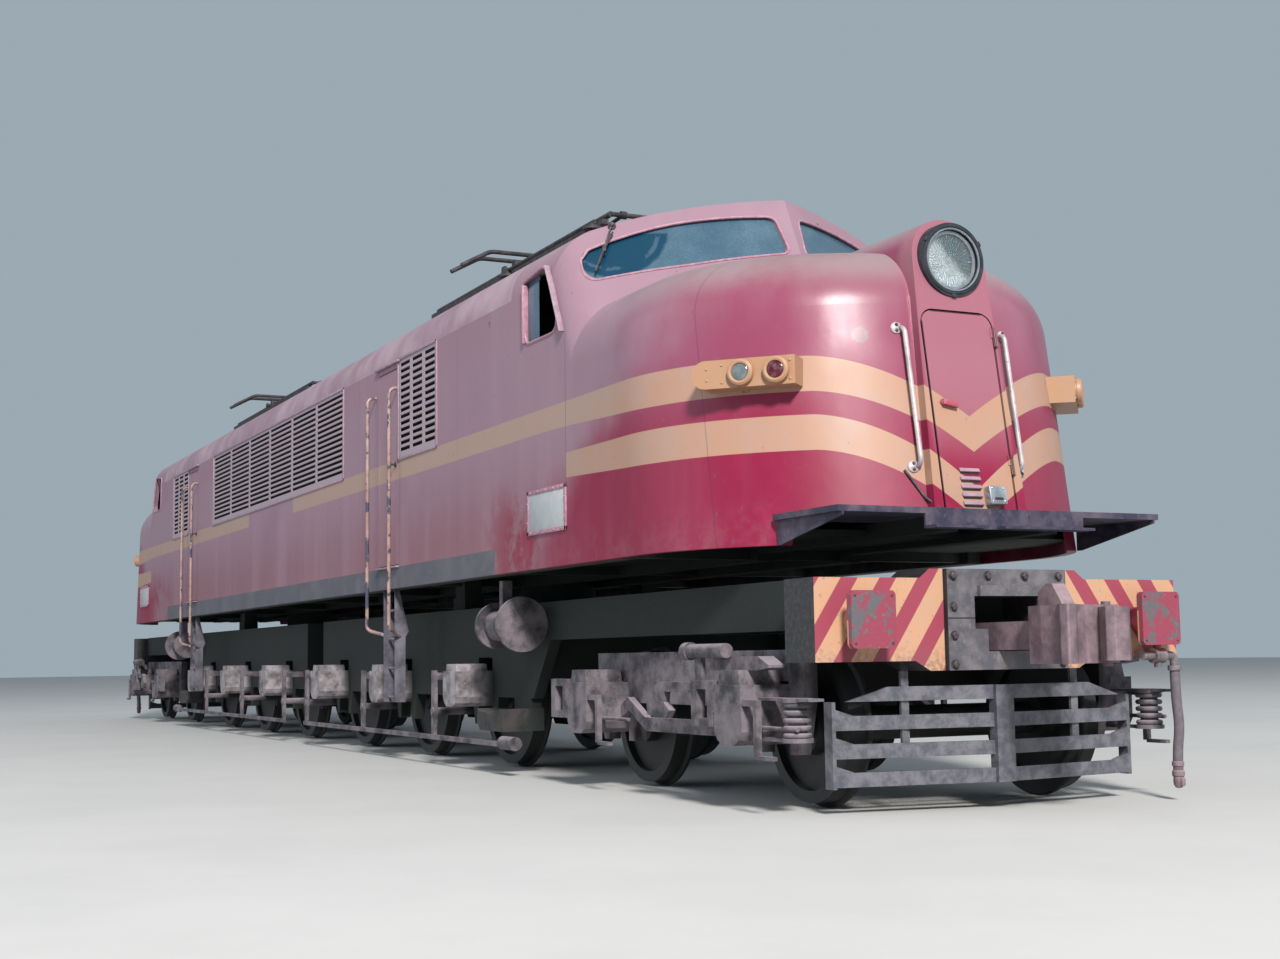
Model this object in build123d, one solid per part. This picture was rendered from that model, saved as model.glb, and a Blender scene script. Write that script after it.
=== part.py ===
from build123d import *
import os
from math import atan, degrees, radians, sqrt, tan

# Lengths are millimetres. Heights are above the rail top. The finished pieces are lifted by the flange
# height, so that the part stands on its wheel flanges at z 0. +X points to the front end, and every rear
# piece is its front piece turned half a turn about Z.

# Running gear
RAIL_GAUGE = 1600
FLANGE_HEIGHT = 28
WHEEL_BACK = 760                 # half the distance between the wheel backs
WHEEL_WIDTH = 140
DRIVER_RADIUS = 584
GUIDE_RADIUS = 457
DRIVER_XS = (5309, 3226, 1143)   # from the front end to the middle
GUIDE_XS = (10034, 7900)
AXLE_RADIUS = 100
JOURNAL_RADIUS = 80
JOURNAL_END = 1290
RUNNING_GAP = 0.8                # between a pin or journal and its bore
SEAT_GAP = 0.3                   # between pieces of different bodies that bear on each other

# Trucks
FRAME_Y = 1030                   # inner face of a side frame
FRAME_THICK = 90
FRAME_OUTER = FRAME_Y + FRAME_THICK
FRAME_TOP = 1300
FRAME_REAR_X = 330
FRAME_RAIL_Z = 560
PEDESTAL_FOOT_Z = 330
BOX_HALF = 160
BOX_FACE_Y = 1440
BOX_LOW = 100                    # box bottom below the axle
GUIDE_BOX_HALF = 160
PIVOT_X = 4260
PIVOT_RADIUS = 340
BOWL_HEIGHT = 40
BEARER_Y = 880
BEARER_HEIGHT = 120
GUIDE_PIN_RADIUS = 60
KINGPIN_RADIUS = 90
GUIDE_PIVOT_X = (GUIDE_XS[0] + GUIDE_XS[1]) / 2
EXTENSION_Z = 1010               # underside of the frame over the guide truck
GUIDE_FRAME_TOP = 900
GUIDE_FRAME_LOW = 300
LEVER_Y = 1330                   # inner face of the brake levers
ROD_Z = (195, 235)               # the long brake rod outside the levers
CYLINDER_X = (6095, 6650)
CYLINDER_Z = 1130

# End spring and swan neck of the guide truck, on each side
SPRING_XY = (10530, 1270)
SPRING_Z = (404, 612)
SPRING_SEAT_RADIUS = 88
SWING_BAR_Z = 900                # round bar over the boxes
SWING_BAR_X = (9480, 9960)

# End beam, pilot and coupler
BEAM_BACK_X = 10450
BEAM_FRONT_X = 10765
BEAM_HALF = 1290
BEAM_Z = (826, 1292)
BEAM_MIDDLE_Z = (770, 1345)
BEAM_LOW_STEP = (632, 532)       # where the lower edge drops to the middle part
BEAM_HIGH_STEP = (590, 522)
BEAM_PLATE_HALF = 427
PAD_Y = 1020
PAD_Z = 1056
PAD_SIZE = (290, 315)
PAD_FRONT_X = 10940
COUPLER_FACE_X = 11655
COUPLER_Z = 960
COUPLER_HALF = 158               # half height of the head
COUPLER_PIN_X = 10390
POCKET_Z = (875, 1190)
POCKET_STEP_Z = 1002             # where the pocket narrows to the shank
POCKET_HALF = 235
SHANK_SLOT_HALF = 145
PILOT_Z = (130, 683)
PILOT_HALF = 1060
PILOT_TOP_HALF = (985, 720)      # half length of the top bar at its lower and upper edge
PILOT_HANGER_Y = 610
PILOT_X = (10550, 10700)         # at the ends and at the centre post
HOSE_RADIUS = 30
HOSE_ROUTE = ((10850, 1190, 745), (10850, 1190, 580), (10863, 1198, 410), (10852, 1180, 260),
              (10852, 1180, 130))

# Body
BODY_HALF = 1525
BODY_BOTTOM = 1510
WALL = 60
SHOULDER_Z = 3555                # top of the flat side
SHOULDER_RADIUS = 370
ROOF_TOP = 4125
CAB_REAR_X = 6950                # joint between the middle body and the cab shell
SILL_TOP = 1700
SILL_END_X = 6580
DECK_TOP = 1620
DECK_Z = 1590                    # underside of the deck plate

# Nose
NOSE_FRONT_X = 10585             # at the bottom edge
NOSE_CENTRE_X = NOSE_FRONT_X - BODY_HALF
NOSE_RAKE = 0.158                # rearward lean for each unit of height
HOOD_TOP = 3380
HOOD_ROUND = 480
POST_X = 8637                    # windshield centre post at POST_Z
POST_Z = 3684
SCREEN_RAKE = 0.479
SCREEN_SWEEP = 0.5               # rearward run for each unit of half width
SCREEN_CORNER = 300
PANEL_FRONT_X = 10618            # raked middle panel at the bottom edge
PANEL_HALF = (345, 268)          # at the bottom edge and at the headlight
LAMP_Z = 3258
LAMP_RADIUS = 230

MARKER_Z = 2545
MARKER_TURN = 47.5               # degrees round the nose from its front
MARKER_STAND = 148
MARKER_HALF = 86                 # half height
MARKER_ENDS = (-275, 370)        # inner and outer end from its middle
MARKER_LAMPS = (-163, 57)

# Rails and ladders
NOSE_RAIL_Y = 371
NOSE_RAIL_Z = (1962, 2816)
NOSE_RAIL_OUT = -29              # from the middle panel's plane
LADDER_HALF = 160
LADDER_SHIFT = -70               # from the middle of the door
LADDER_Y = 30 - BODY_HALF        # outer edge of the ladder plates

# Foot plate
FOOT_PLATE_Z = (1655, 1690)
FOOT_REAR_X = 10110              # the nose wall is cut off above the plate ahead of this
FOOT_FRONT_X = 10811
FOOT_HALF = BODY_HALF - 373
STEP_FRONT_X = 10914
STEP_HALF = 567
STEP_TOP = 1586
STEP_NOTCH = (-200, -88)
DECK_END_X = 10000

# Doors
DOOR_X = (3660, 4200)
REAR_DOOR_X = (-5060, -4520)
DOOR_Z = (1720, 3480)
DOOR_GAP = 10
HINGE_RADIUS = 12
NOSE_DOOR_HALF = 260
NOSE_DOOR_Z = (1710, 2930)

# Pantographs
PANTO_X = 4500
ARM_LENGTH = 1950
ARM_PIVOT = 130                  # from the middle of the pantograph
ARM_Z = 4425
BASE_HALF = 2080
STRIP_Z = 4525
ROOF_INSULATOR_Y = 560
LOWER_Y = 510
BUS_Y = -800
BUS_Z = 4250
MAIN_BUS_Y = 300
MAIN_BUS_Z = 4262

pieces = {}


def add(name, *shapes):
    """Collects the solids of one node."""
    pieces.setdefault(name, []).extend(shapes)


def box(x0, x1, y0, y1, z0, z1):
    return Pos((x0 + x1) / 2, (y0 + y1) / 2, (z0 + z1) / 2) * Box(x1 - x0, y1 - y0, z1 - z0)


def rod_x(x0, x1, y, z, radius):
    return Pos((x0 + x1) / 2, y, z) * Rot(0, 90, 0) * Cylinder(radius, x1 - x0)


def rod_y(x, y0, y1, z, radius):
    return Pos(x, (y0 + y1) / 2, z) * Rot(90, 0, 0) * Cylinder(radius, y1 - y0)


def rod_z(x, y, z0, z1, radius):
    return Pos(x, y, (z0 + z1) / 2) * Cylinder(radius, z1 - z0)


def solid_of(points, plane, depth):
    """A closed outline of straight edges on a plane, given depth along its normal."""
    wire = Wire(Polyline(*[plane.from_local_coords(Vector(*point, 0)) for point in points], close=True).edges())
    return extrude(Face(wire), depth, dir=plane.z_dir)


def plate_xz(points, y0, y1):
    return solid_of([(x, z) for x, z in points], Plane((0, y0, 0), (1, 0, 0), (0, -1, 0)), -(y1 - y0))


def plate_yz(points, x0, x1):
    return solid_of(points, Plane((x0, 0, 0), (0, 1, 0), (1, 0, 0)), x1 - x0)


def plate_xy(points, z0, z1):
    return solid_of(points, Plane((0, 0, z0), (1, 0, 0), (0, 0, 1)), z1 - z0)


def pipe(points, radius, bend):
    """A round bar along straight runs joined by bends."""
    path = FilletPolyline(*points, radius=bend) if len(points) > 2 else Polyline(*points)
    return sweep(Plane(origin=path @ 0, z_dir=path % 0) * Circle(radius), path=path)


def turned(shape):
    """The rear end's copy of a front piece."""
    return Rot(0, 0, 180) * shape


def other_side(shape):
    return mirror(shape, Plane.XZ)


def both_sides(shape):
    return [shape, other_side(shape)]


# Wheelsets
def wheel_profile(radius, side):
    """Outline of one wheel as (y, r), from the axle's middle to the journal's end."""
    rim = radius - 75
    tip = radius + FLANGE_HEIGHT
    face = WHEEL_BACK + WHEEL_WIDTH
    hub = 175
    outline = [(0, AXLE_RADIUS), (700, AXLE_RADIUS), (700, hub), (805, hub), (805, rim), (WHEEL_BACK, rim),
               (WHEEL_BACK, tip - 12), (WHEEL_BACK + 12, tip), (WHEEL_BACK + 26, tip),
               (RAIL_GAUGE / 2, radius + 2), (face, radius - 3), (face, rim), (850, rim), (850, hub),
               (935, hub), (935, JOURNAL_RADIUS), (JOURNAL_END, JOURNAL_RADIUS)]
    return [(side * y, r) for y, r in outline]


def wheelset(x, radius):
    left = wheel_profile(radius, -1)
    right = wheel_profile(radius, 1)
    outline = [(-JOURNAL_END, 0)] + left[::-1] + right[1:] + [(JOURNAL_END, 0)]
    face = Face(Wire(Polyline(*[(x, y, radius + r) for y, r in outline], close=True).edges()))
    return revolve(face, Axis((x, 0, radius), (0, 1, 0)))


# Trucks
def axle_box(x, z, half, height, cap):
    """A cast box, rounded below, with a narrower cap on top, bored for the journal."""
    low = z - BOX_LOW
    top = z + height
    rear, front = x - half, x + half
    body = plate_xz([(rear, top), (rear, z - 20), (rear + 35, low + 30), (rear + 90, low), (front - 90, low),
                     (front - 35, low + 30), (front, z - 20), (front, top)], FRAME_Y - 50, BOX_FACE_Y)
    lug = plate_xz([(rear + 20, top), (rear + 40, top + cap), (front - 60, top + cap), (front - 40, top)],
                   FRAME_OUTER + 30, BOX_FACE_Y - 20)
    bore = rod_y(x, FRAME_Y - 60, JOURNAL_END + RUNNING_GAP, z, JOURNAL_RADIUS + RUNNING_GAP)
    return body + lug - bore


def leaf_spring(x, z):
    """Three leaves inside the frame over a box, shorter towards the top, with their buckle and saddle."""
    inner, outer = FRAME_Y - 85, FRAME_Y - 5
    leaves = [box(x - half, x + half, inner, outer, z + step, z + step + 26)
              for half, step in ((520, 0), (400, 26), (260, 52))]
    buckle = box(x - 55, x + 55, inner - 8, outer, z - 12, z + 96)
    saddle = box(x - 55, x + 55, FRAME_Y - 50, outer, DRIVER_RADIUS + 190, z)
    hangers = [box(x + dx - 22, x + dx + 22, inner, FRAME_Y, FRAME_RAIL_Z + 140, z) for dx in (-440, 440)]
    return Part() + leaves + buckle + saddle + hangers


def side_frame():
    """One side frame as (x, z), with a slot at each driving axle and the raised arm over the guide truck."""
    outline = [(FRAME_REAR_X, FRAME_TOP), (FRAME_REAR_X, FRAME_RAIL_Z)]
    foot = PEDESTAL_FOOT_Z
    slot_top = DRIVER_RADIUS + 300
    for x in DRIVER_XS[::-1]:
        rear, front = x - BOX_HALF - 0.5, x + BOX_HALF + 0.5
        outline += [(rear - 140, FRAME_RAIL_Z), (rear - 90, foot), (rear, foot), (rear, slot_top),
                    (front, slot_top), (front, foot), (front + 90, foot), (front + 140, FRAME_RAIL_Z)]
    outline += [(6350, FRAME_RAIL_Z), (6700, EXTENSION_Z), (BEAM_BACK_X, EXTENSION_Z),
                (BEAM_BACK_X, FRAME_TOP)]
    return plate_xz(outline, FRAME_Y, FRAME_OUTER)


def truck_frame():
    sides = both_sides(side_frame())
    bolster = box(PIVOT_X - 300, PIVOT_X + 300, -FRAME_Y, FRAME_Y, 1080, FRAME_TOP)
    bowl = rod_z(PIVOT_X, 0, FRAME_TOP, FRAME_TOP + BOWL_HEIGHT, PIVOT_RADIUS)
    bore = rod_z(PIVOT_X, 0, 1070, FRAME_TOP + 50, KINGPIN_RADIUS + RUNNING_GAP)
    bearers = [box(PIVOT_X - 150, PIVOT_X + 150, y - 90, y + 90, FRAME_TOP, FRAME_TOP + BEARER_HEIGHT)
               for y in (-BEARER_Y, BEARER_Y)]
    cross = [box(x - 60, x + 60, -FRAME_Y, FRAME_Y, z0, FRAME_TOP)
             for x, z0 in ((FRAME_REAR_X + 60, 700), (2180, 1080), (6420, 700), (GUIDE_XS[1] - 640, 1060),
                           (COUPLER_PIN_X - 240, EXTENSION_Z))]
    pan = box(GUIDE_PIVOT_X - 300, GUIDE_PIVOT_X + 300, -FRAME_Y, FRAME_Y, EXTENSION_Z, FRAME_TOP)
    guide_bore = rod_z(GUIDE_PIVOT_X, 0, EXTENSION_Z - 10, FRAME_TOP - 60, GUIDE_PIN_RADIUS + RUNNING_GAP)
    motors = [motor(x) for x in DRIVER_XS]
    feet = both_sides(frame_foot())
    return (sides[0] + sides[1] + bolster + bowl + bearers + cross + pan + motors + feet) - bore - guide_bore


def frame_foot():
    """The low casting ahead of the first driving wheel, hung from the side frame."""
    foot = plate_xz([(5800, 480), (5860, 460), (6060, 440), (6280, 482), (6350, 485), (6350, 310), (5860, 310),
                     (5800, 370)], FRAME_Y, BOX_FACE_Y - 60)
    return foot + box(5950, 6300, FRAME_Y, FRAME_OUTER, 310, FRAME_RAIL_Z + 10)


def motor(x):
    """A traction motor beside its axle, hung from the frame's cross piece."""
    case = box(x + AXLE_RADIUS + 30, x + 880, -600, 600, 330, 1010)
    case = chamfer(case.edges().filter_by(Axis.Y), 120)
    hanger = box(x + 880, x + 960, -300, 300, 700, 1000)
    rail = box(x + 900, x + 1000, -FRAME_Y, FRAME_Y, 880, 1000)
    return case + hanger + rail


def tongue():
    """The front truck's half of the middle joint."""
    bar = box(0, FRAME_REAR_X + 10, -130, 130, 800, 900)
    eye = rod_z(0, 0, 800, 900, 130)
    hole = rod_z(0, 0, 790, 910, 75)
    return bar + eye - hole


def jaws():
    """The rear truck's half, with the pin standing clear in the eye."""
    cheeks = [box(-FRAME_REAR_X - 10, 150, -200, 200, z0, z1) for z0, z1 in ((700, 780), (920, 1000))]
    back = box(-FRAME_REAR_X - 10, -170, -200, 200, 700, 1000)
    pin = rod_z(0, 0, 690, 1010, 60)
    return cheeks[0] + cheeks[1] + back + pin


def spring_gear():
    """Driving axle boxes with their springs, both sides."""
    found = []
    for x in DRIVER_XS:
        found += both_sides(axle_box(x, DRIVER_RADIUS, BOX_HALF, 190, 60))
        found += both_sides(leaf_spring(x, DRIVER_RADIUS + 292))
    return found


# End beam with its pads and the pilot below it
def end_beam():
    low, high = BEAM_Z
    mid_low, mid_high = BEAM_MIDDLE_Z
    (low_out, low_in), (high_out, high_in) = BEAM_LOW_STEP, BEAM_HIGH_STEP
    right = [(low_in, mid_low), (low_out, low), (BEAM_HALF, low), (BEAM_HALF, high), (high_out, high),
             (high_in, mid_high)]
    outline = right + [(-y, z) for y, z in right[::-1]]
    beam = plate_yz(outline, BEAM_BACK_X, BEAM_FRONT_X)
    face_x = BEAM_FRONT_X + 30
    plate = box(BEAM_FRONT_X, face_x, -BEAM_PLATE_HALF, BEAM_PLATE_HALF, mid_low, mid_high)
    lip = box(face_x, face_x + 32, -POCKET_HALF + 20, POCKET_HALF - 20, POCKET_Z[1], POCKET_Z[1] + 60)
    pocket = box(BEAM_BACK_X - 10, face_x + 10, -POCKET_HALF, POCKET_HALF, POCKET_STEP_Z, POCKET_Z[1])
    slot = box(BEAM_BACK_X - 10, face_x + 10, -SHANK_SLOT_HALF, SHANK_SLOT_HALF, POCKET_Z[0], POCKET_STEP_Z + 1)
    beam = beam + plate + lip - pocket - slot + angle_cock()
    for side in (-1, 1):
        width, height = PAD_SIZE
        pad = box(PAD_FRONT_X - 45, PAD_FRONT_X, side * PAD_Y - width / 2, side * PAD_Y + width / 2,
                  PAD_Z - height / 2, PAD_Z + height / 2)
        pad = fillet(pad.edges().filter_by(Axis.X), 28)
        stem = rod_x(BEAM_FRONT_X - 5, PAD_FRONT_X - 40, side * PAD_Y, PAD_Z, 85)
        beam = beam + pad + stem
    return beam


def angle_cock():
    """The brake pipe's end under the beam: bracket, cock body and the elbow that the hose hangs from."""
    x, y, z = HOSE_ROUTE[0]
    pipe_z = z + 90
    elbow = pipe([(x, y - 250, pipe_z), (x, y, pipe_z), (x, y, z + 25)], 26, 40)
    body = rod_y(x, y - 170, y - 90, pipe_z, 46) + rod_z(x, y - 130, pipe_z - 70, pipe_z + 70, 22)
    handle = box(x - 12, x + 12, y - 230, y - 120, pipe_z + 70, pipe_z + 82)
    nut = rod_z(x, y, z, z + 30, HOSE_RADIUS + 10)
    bracket = box(BEAM_FRONT_X - 5, x, y - 240, y - 190, pipe_z - 15, pipe_z + 25)
    return elbow + body + handle + nut + bracket


def hose_bends(route):
    """The largest radius at each point that its two runs allow."""
    found = []
    for before, here, after in zip(route, route[1:], route[2:]):
        come = Vector(*here) - Vector(*before)
        leave = Vector(*after) - Vector(*here)
        found.append(0.45 * min(come.length, leave.length) / tan(radians(come.get_angle(leave)) / 2))
    print("hose radii", [round(radius) for radius in found])
    return found


def brake_hose():
    """The hose below the cock, and the coupling on its end."""
    x, y, z = HOSE_ROUTE[-1]
    tube = pipe(HOSE_ROUTE, HOSE_RADIUS, hose_bends(HOSE_ROUTE))
    collar = rod_z(x, y, z - 50, z, HOSE_RADIUS + 8)
    head = plate_xz([(x - 42, z - 50), (x - 42, z - 90), (x - 20, z - 112), (x + 30, z - 112), (x + 42, z - 80),
                     (x + 42, z - 50)], y - 55, y + 25)
    return [tube, collar + head]


def pilot():
    """Four bars that run out to a point in the middle, on a centre post, two hangers and two end plates."""
    end_x, mid_x = PILOT_X
    low, high = PILOT_Z
    thick = 22
    slope = (mid_x - end_x) / PILOT_HALF
    bars = []
    deep = 80
    long, short = PILOT_TOP_HALF
    for z, half in ((low, PILOT_HALF), (low + 157, PILOT_HALF), (low + 314, PILOT_HALF), (high - deep, long)):
        x = mid_x - slope * half
        bars.append(plate_xy([(x, -half), (mid_x, 0), (x, half), (x + thick, half), (mid_x + thick, 0),
                              (x + thick, -half)], z, z + deep))
    corner = plate_yz([(short, high), (long, high - deep), (long + 50, high - deep), (long + 50, high + 10),
                       (short, high + 10)], end_x - 10, mid_x)
    post = box(mid_x - 30, mid_x + 40, -62, 62, low, high)
    end_y = PILOT_HALF
    ends = [box(end_x - 60, end_x + thick, side * end_y - 12, side * end_y + 12, low - 10, low + 473)
            for side in (-1, 1)]
    wedges = []
    for z in (low, low + 157, low + 314):
        top = z + deep
        corners = [(end_y - 130, top), (end_y - 8, top), (end_y - 8, top + 38)]
        wedges += both_sides(plate_yz(corners, end_x, end_x + thick))
    hanger_x = mid_x - slope * PILOT_HANGER_Y
    hangers = both_sides(box(hanger_x - 16, hanger_x + 5, PILOT_HANGER_Y - 25, PILOT_HANGER_Y + 25, low + 157,
                             BEAM_Z[0] + 10))
    return Part() + bars + post + ends + wedges + hangers - both_sides(corner)


def coupler():
    """Knuckle coupler: shank, head with its guard arm and horn, and the knuckle on its pin."""
    z0, z1 = COUPLER_Z - 80, COUPLER_Z + 80
    low, high = COUPLER_Z - COUPLER_HALF, COUPLER_Z + COUPLER_HALF
    shank = plate_xy([(COUPLER_PIN_X, -90), (11150, -65), (11150, 65), (COUPLER_PIN_X, 90)], z0, z1)
    eye = rod_z(COUPLER_PIN_X, 0, z0, z1, 100)
    head = plate_xy([(11100, -85), (11190, -175), (11330, -205), (11480, -215), (11560, -262), (11625, -262),
                     (11600, -190), (11530, -120), (11500, -40), (11490, 60), (11520, 175), (11440, 205),
                     (11260, 190), (11160, 120), (11100, 85)], low, high)
    head = fillet(head.edges().filter_by(Axis.Z), 12)
    knuckle = plate_xy([(11480, 62), (COUPLER_FACE_X - 45, 0), (COUPLER_FACE_X, 30), (COUPLER_FACE_X, 120),
                        (COUPLER_FACE_X - 60, 185), (11480, 172)], low + 14, high - 14)
    knuckle = fillet(knuckle.edges().filter_by(Axis.Z), 12)
    pin = rod_z(11470, 130, low - 18, high + 18, 26)
    horn = plate_xz([(11120, high - 5), (11120, high + 80), (11190, high + 124), (11240, high + 124),
                     (11330, high - 5)], -45, 45)
    bore = rod_z(COUPLER_PIN_X, 0, z0 - 10, z1 + 10, 45 + RUNNING_GAP)
    return shank + eye + head + knuckle + pin + horn - bore


def draft_pocket():
    """The coupler's pin, held between two plates behind the beam."""
    low, high = POCKET_Z
    rear = COUPLER_PIN_X - 240
    floor = box(rear, BEAM_BACK_X, -200, 200, low - 40, low)
    ceiling = box(rear, BEAM_BACK_X, -200, 200, high, high + 40)
    web = box(rear - 30, rear + 30, -200, 200, low - 40, FRAME_TOP)
    pin = rod_z(COUPLER_PIN_X, 0, low, high, 45)
    return floor + ceiling + web + pin


# Brake gear
def brake_gear():
    """For each driving wheel a shoe behind it, hung from a lever outside the frame."""
    found = []
    for x in DRIVER_XS:
        shoe_x = x - DRIVER_RADIUS
        ring = rod_y(x, 806, 892, DRIVER_RADIUS, DRIVER_RADIUS + 60) - rod_y(x, 800, 900, DRIVER_RADIUS,
                                                                            DRIVER_RADIUS + 9)
        shoe = ring & box(shoe_x - 90, shoe_x + 60, 800, 900, 330, 700)
        beam = rod_y(shoe_x - 60, -LEVER_Y - 40, LEVER_Y + 40, 430, 34)
        lever = plate_xz([(shoe_x - 95, 780), (shoe_x - 25, 780), (shoe_x - 15, 430), (shoe_x - 45, 190),
                          (shoe_x - 95, 190), (shoe_x - 105, 430)], LEVER_Y, LEVER_Y + 30)
        boss = box(shoe_x - 90, shoe_x - 30, FRAME_OUTER, LEVER_Y, 700, 760)
        found.append(Part() + beam + both_sides(shoe) + both_sides(lever) + both_sides(boss))
    rod_end = 6350
    rods = both_sides(box(DRIVER_XS[2] - DRIVER_RADIUS - 80, rod_end, LEVER_Y + 30, LEVER_Y + 52, *ROD_Z))
    adjusters = both_sides(rod_x(rod_end - 10, rod_end + 250, LEVER_Y + 41, ROD_Z[1] - 7, 52))
    return found[0] + found[1] + found[2] + rods + adjusters


def brake_cylinder():
    """The large flanged cylinder beside the frame, behind the guide truck."""
    y, z = LEVER_Y, CYLINDER_Z
    rear, front = CYLINDER_X
    barrel = rod_x(rear, front, y, z, 118)
    flanges = [rod_x(rear, rear + 34, y, z, 180), rod_x(front - 34, front, y, z, 210)]
    foot = box(rear + 150, rear + 350, FRAME_OUTER, y, z - 90, z + 90)
    bracket = box(rear + 180, rear + 250, y - 40, y + 40, z + 90, BODY_BOTTOM - 35)
    return barrel + flanges + foot + bracket


# Guide truck
def guide_side():
    """The outline of one side frame of the guide truck, with a pedestal slot at each axle."""
    front, rear = GUIDE_XS
    slot = GUIDE_BOX_HALF + 0.5
    low, top = GUIDE_FRAME_LOW, GUIDE_FRAME_TOP
    outline = [(rear - 330, 620), (rear - 330, top), (front + 330, top), (front + 330, 620), (front + 240, low)]
    for x, after in ((front, rear + 240), (rear, None)):
        outline += [(x + slot, low), (x + slot, 720), (x - slot, 720), (x - slot, low), (x - 240, low)]
        if after:
            outline += [(x - 330, 560), (after + 90, 560), (after, low)]
    return plate_xz(outline, FRAME_Y, FRAME_OUTER)


def guide_gear():
    """One side's two boxes with the necked bar between them, the swan neck, hangers, guides and end spring."""
    front, rear = GUIDE_XS
    half = GUIDE_BOX_HALF
    face = BOX_FACE_Y
    box_front, box_rear = front - half, rear + half
    neck = [(box_rear, 540), (box_rear + 110, 600), (box_rear + 370, 470), (box_front - 370, 470),
            (box_front - 110, 600), (box_front, 540), (box_front, 460), (box_front - 130, 510),
            (box_front - 390, 380), (box_rear + 390, 380), (box_rear + 130, 510), (box_rear, 460)]
    gear = Part() + plate_xz(neck, FRAME_OUTER + 10, FRAME_OUTER + 60)
    for x in GUIDE_XS:
        gear += axle_box(x, GUIDE_RADIUS, half, 245, 85)
        clamp = box(x - half - 285, x - half - 15, face - 60, face, 456, 724)
        clamp -= box(x - half - 215, x - half - 85, face - 70, face + 10, 505, 675)
        tie = box(x - half - 20, x - half + 5, face - 60, face, 540, 660)
        drop = box(x + half + 130, x + half + 165, face - 40, face - 5, 305, 620)
        arm = box(x + half - 5, x + half + 165, face - 40, face - 5, 585, 620)
        toe = box(x + half + 160, x + half + 330, face - 40, face - 5, 290, 312)
        gear = gear + clamp + tie + drop + arm + toe + rod_x(x + half - 5, x + half + 420, face - 120, 460, 12)
    swan = plate_xz([(box_front - 270, 655), (box_front - 270, 715), (9130, 715), (9080, 690), (9040, 610),
                     (8965, 580), (8975, 510), (9090, 492), (9230, 492), (9280, 540), (9200, 590), (9215, 655)],
                    face - 55, face - 10)
    bar_rear, bar_front = SWING_BAR_X
    bar = rod_x(bar_rear, bar_front, face - 45, SWING_BAR_Z, 43)
    cap = rod_x(bar_rear - 25, bar_rear + 40, face - 45, SWING_BAR_Z, 54)
    link = box(bar_rear + 110, bar_rear + 190, face - 60, face - 30, 700, SWING_BAR_Z)
    blade = plate_xz([(9720, 785), (9720, 865), (10250, 865), (10370, 815), (10370, 800), (10250, 785)],
                     face - 190, face - 85)
    x, y = SPRING_XY
    low, high = SPRING_Z
    upper = box(front + half - 5, x + 200, y - 50, y + 50, high + 2, high + 18)
    upper += rod_z(x, y, high - 6, high + 18, SPRING_SEAT_RADIUS)
    lower = box(front + half - 40, x, y - 40, y + 40, low - 18, low)
    lower += rod_z(x, y, low - 18, low + 6, SPRING_SEAT_RADIUS)
    return gear + swan + bar + cap + link + blade + upper + lower + end_spring(x, y, low, high)


def end_spring(x, y, low, high):
    """Open coils on a straight core, as five rings that stand a little apart."""
    count = 5
    pitch = (high - low) / count
    rings = [Pos(x, y, low + (k + 0.5) * pitch) * Torus(66, 15) for k in range(count)]
    return rod_z(x, y, low, high, 54) + rings


def guide_truck():
    sides = both_sides(guide_side())
    top = GUIDE_FRAME_TOP
    bolster = box(GUIDE_PIVOT_X - 220, GUIDE_PIVOT_X + 220, -FRAME_Y, FRAME_Y, 640, top)
    plate = rod_z(GUIDE_PIVOT_X, 0, top, EXTENSION_Z - SEAT_GAP, 280)
    pin = rod_z(GUIDE_PIVOT_X, 0, top, FRAME_TOP - 90, GUIDE_PIN_RADIUS)
    return [sides[0] + sides[1] + bolster + plate + pin, *both_sides(guide_gear())]


# Body shells
def roof_circle(inset):
    """Radius and centre height of the roof's crown, inside the outer face by inset."""
    rise = ROOF_TOP - SHOULDER_Z
    half = BODY_HALF - SHOULDER_RADIUS
    crown = (rise ** 2 + half ** 2 - SHOULDER_RADIUS ** 2) / (2 * (rise - SHOULDER_RADIUS))
    return crown - inset, ROOF_TOP - crown


def body_section(inset, bottom):
    """The body's closed section as a face at x 0: flat sides, round shoulders and crown."""
    crown, crown_z = roof_circle(inset)
    radius = SHOULDER_RADIUS - inset
    half = BODY_HALF - inset
    centre_y = BODY_HALF - SHOULDER_RADIUS
    reach = sqrt(centre_y ** 2 + (SHOULDER_Z - crown_z) ** 2)
    join = (centre_y + radius * centre_y / reach, SHOULDER_Z + radius * (SHOULDER_Z - crown_z) / reach)
    turn = (1 + centre_y / reach, (SHOULDER_Z - crown_z) / reach)
    size = sqrt(turn[0] ** 2 + turn[1] ** 2)
    middle = (centre_y + radius * turn[0] / size, SHOULDER_Z + radius * turn[1] / size)
    edges = [Line((0, -half, bottom), (0, half, bottom)), Line((0, half, bottom), (0, half, SHOULDER_Z)),
             ThreePointArc((0, half, SHOULDER_Z), (0, *middle), (0, *join)),
             ThreePointArc((0, *join), (0, 0, crown_z + crown), (0, -join[0], join[1])),
             ThreePointArc((0, -join[0], join[1]), (0, -middle[0], middle[1]), (0, -half, SHOULDER_Z)),
             Line((0, -half, SHOULDER_Z), (0, -half, bottom))]
    return Face(Wire(edges))


def body_prism(x0, x1, inset, bottom):
    return extrude(Pos(x0, 0, 0) * body_section(inset, bottom), x1 - x0, dir=(1, 0, 0))


def leaned(face, height, lean):
    """A prism of a level face that leans rearward as it rises."""
    slope = Vector(-lean, 0, 1)
    return extrude(face, height * slope.length, dir=slope.normalized())


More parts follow.
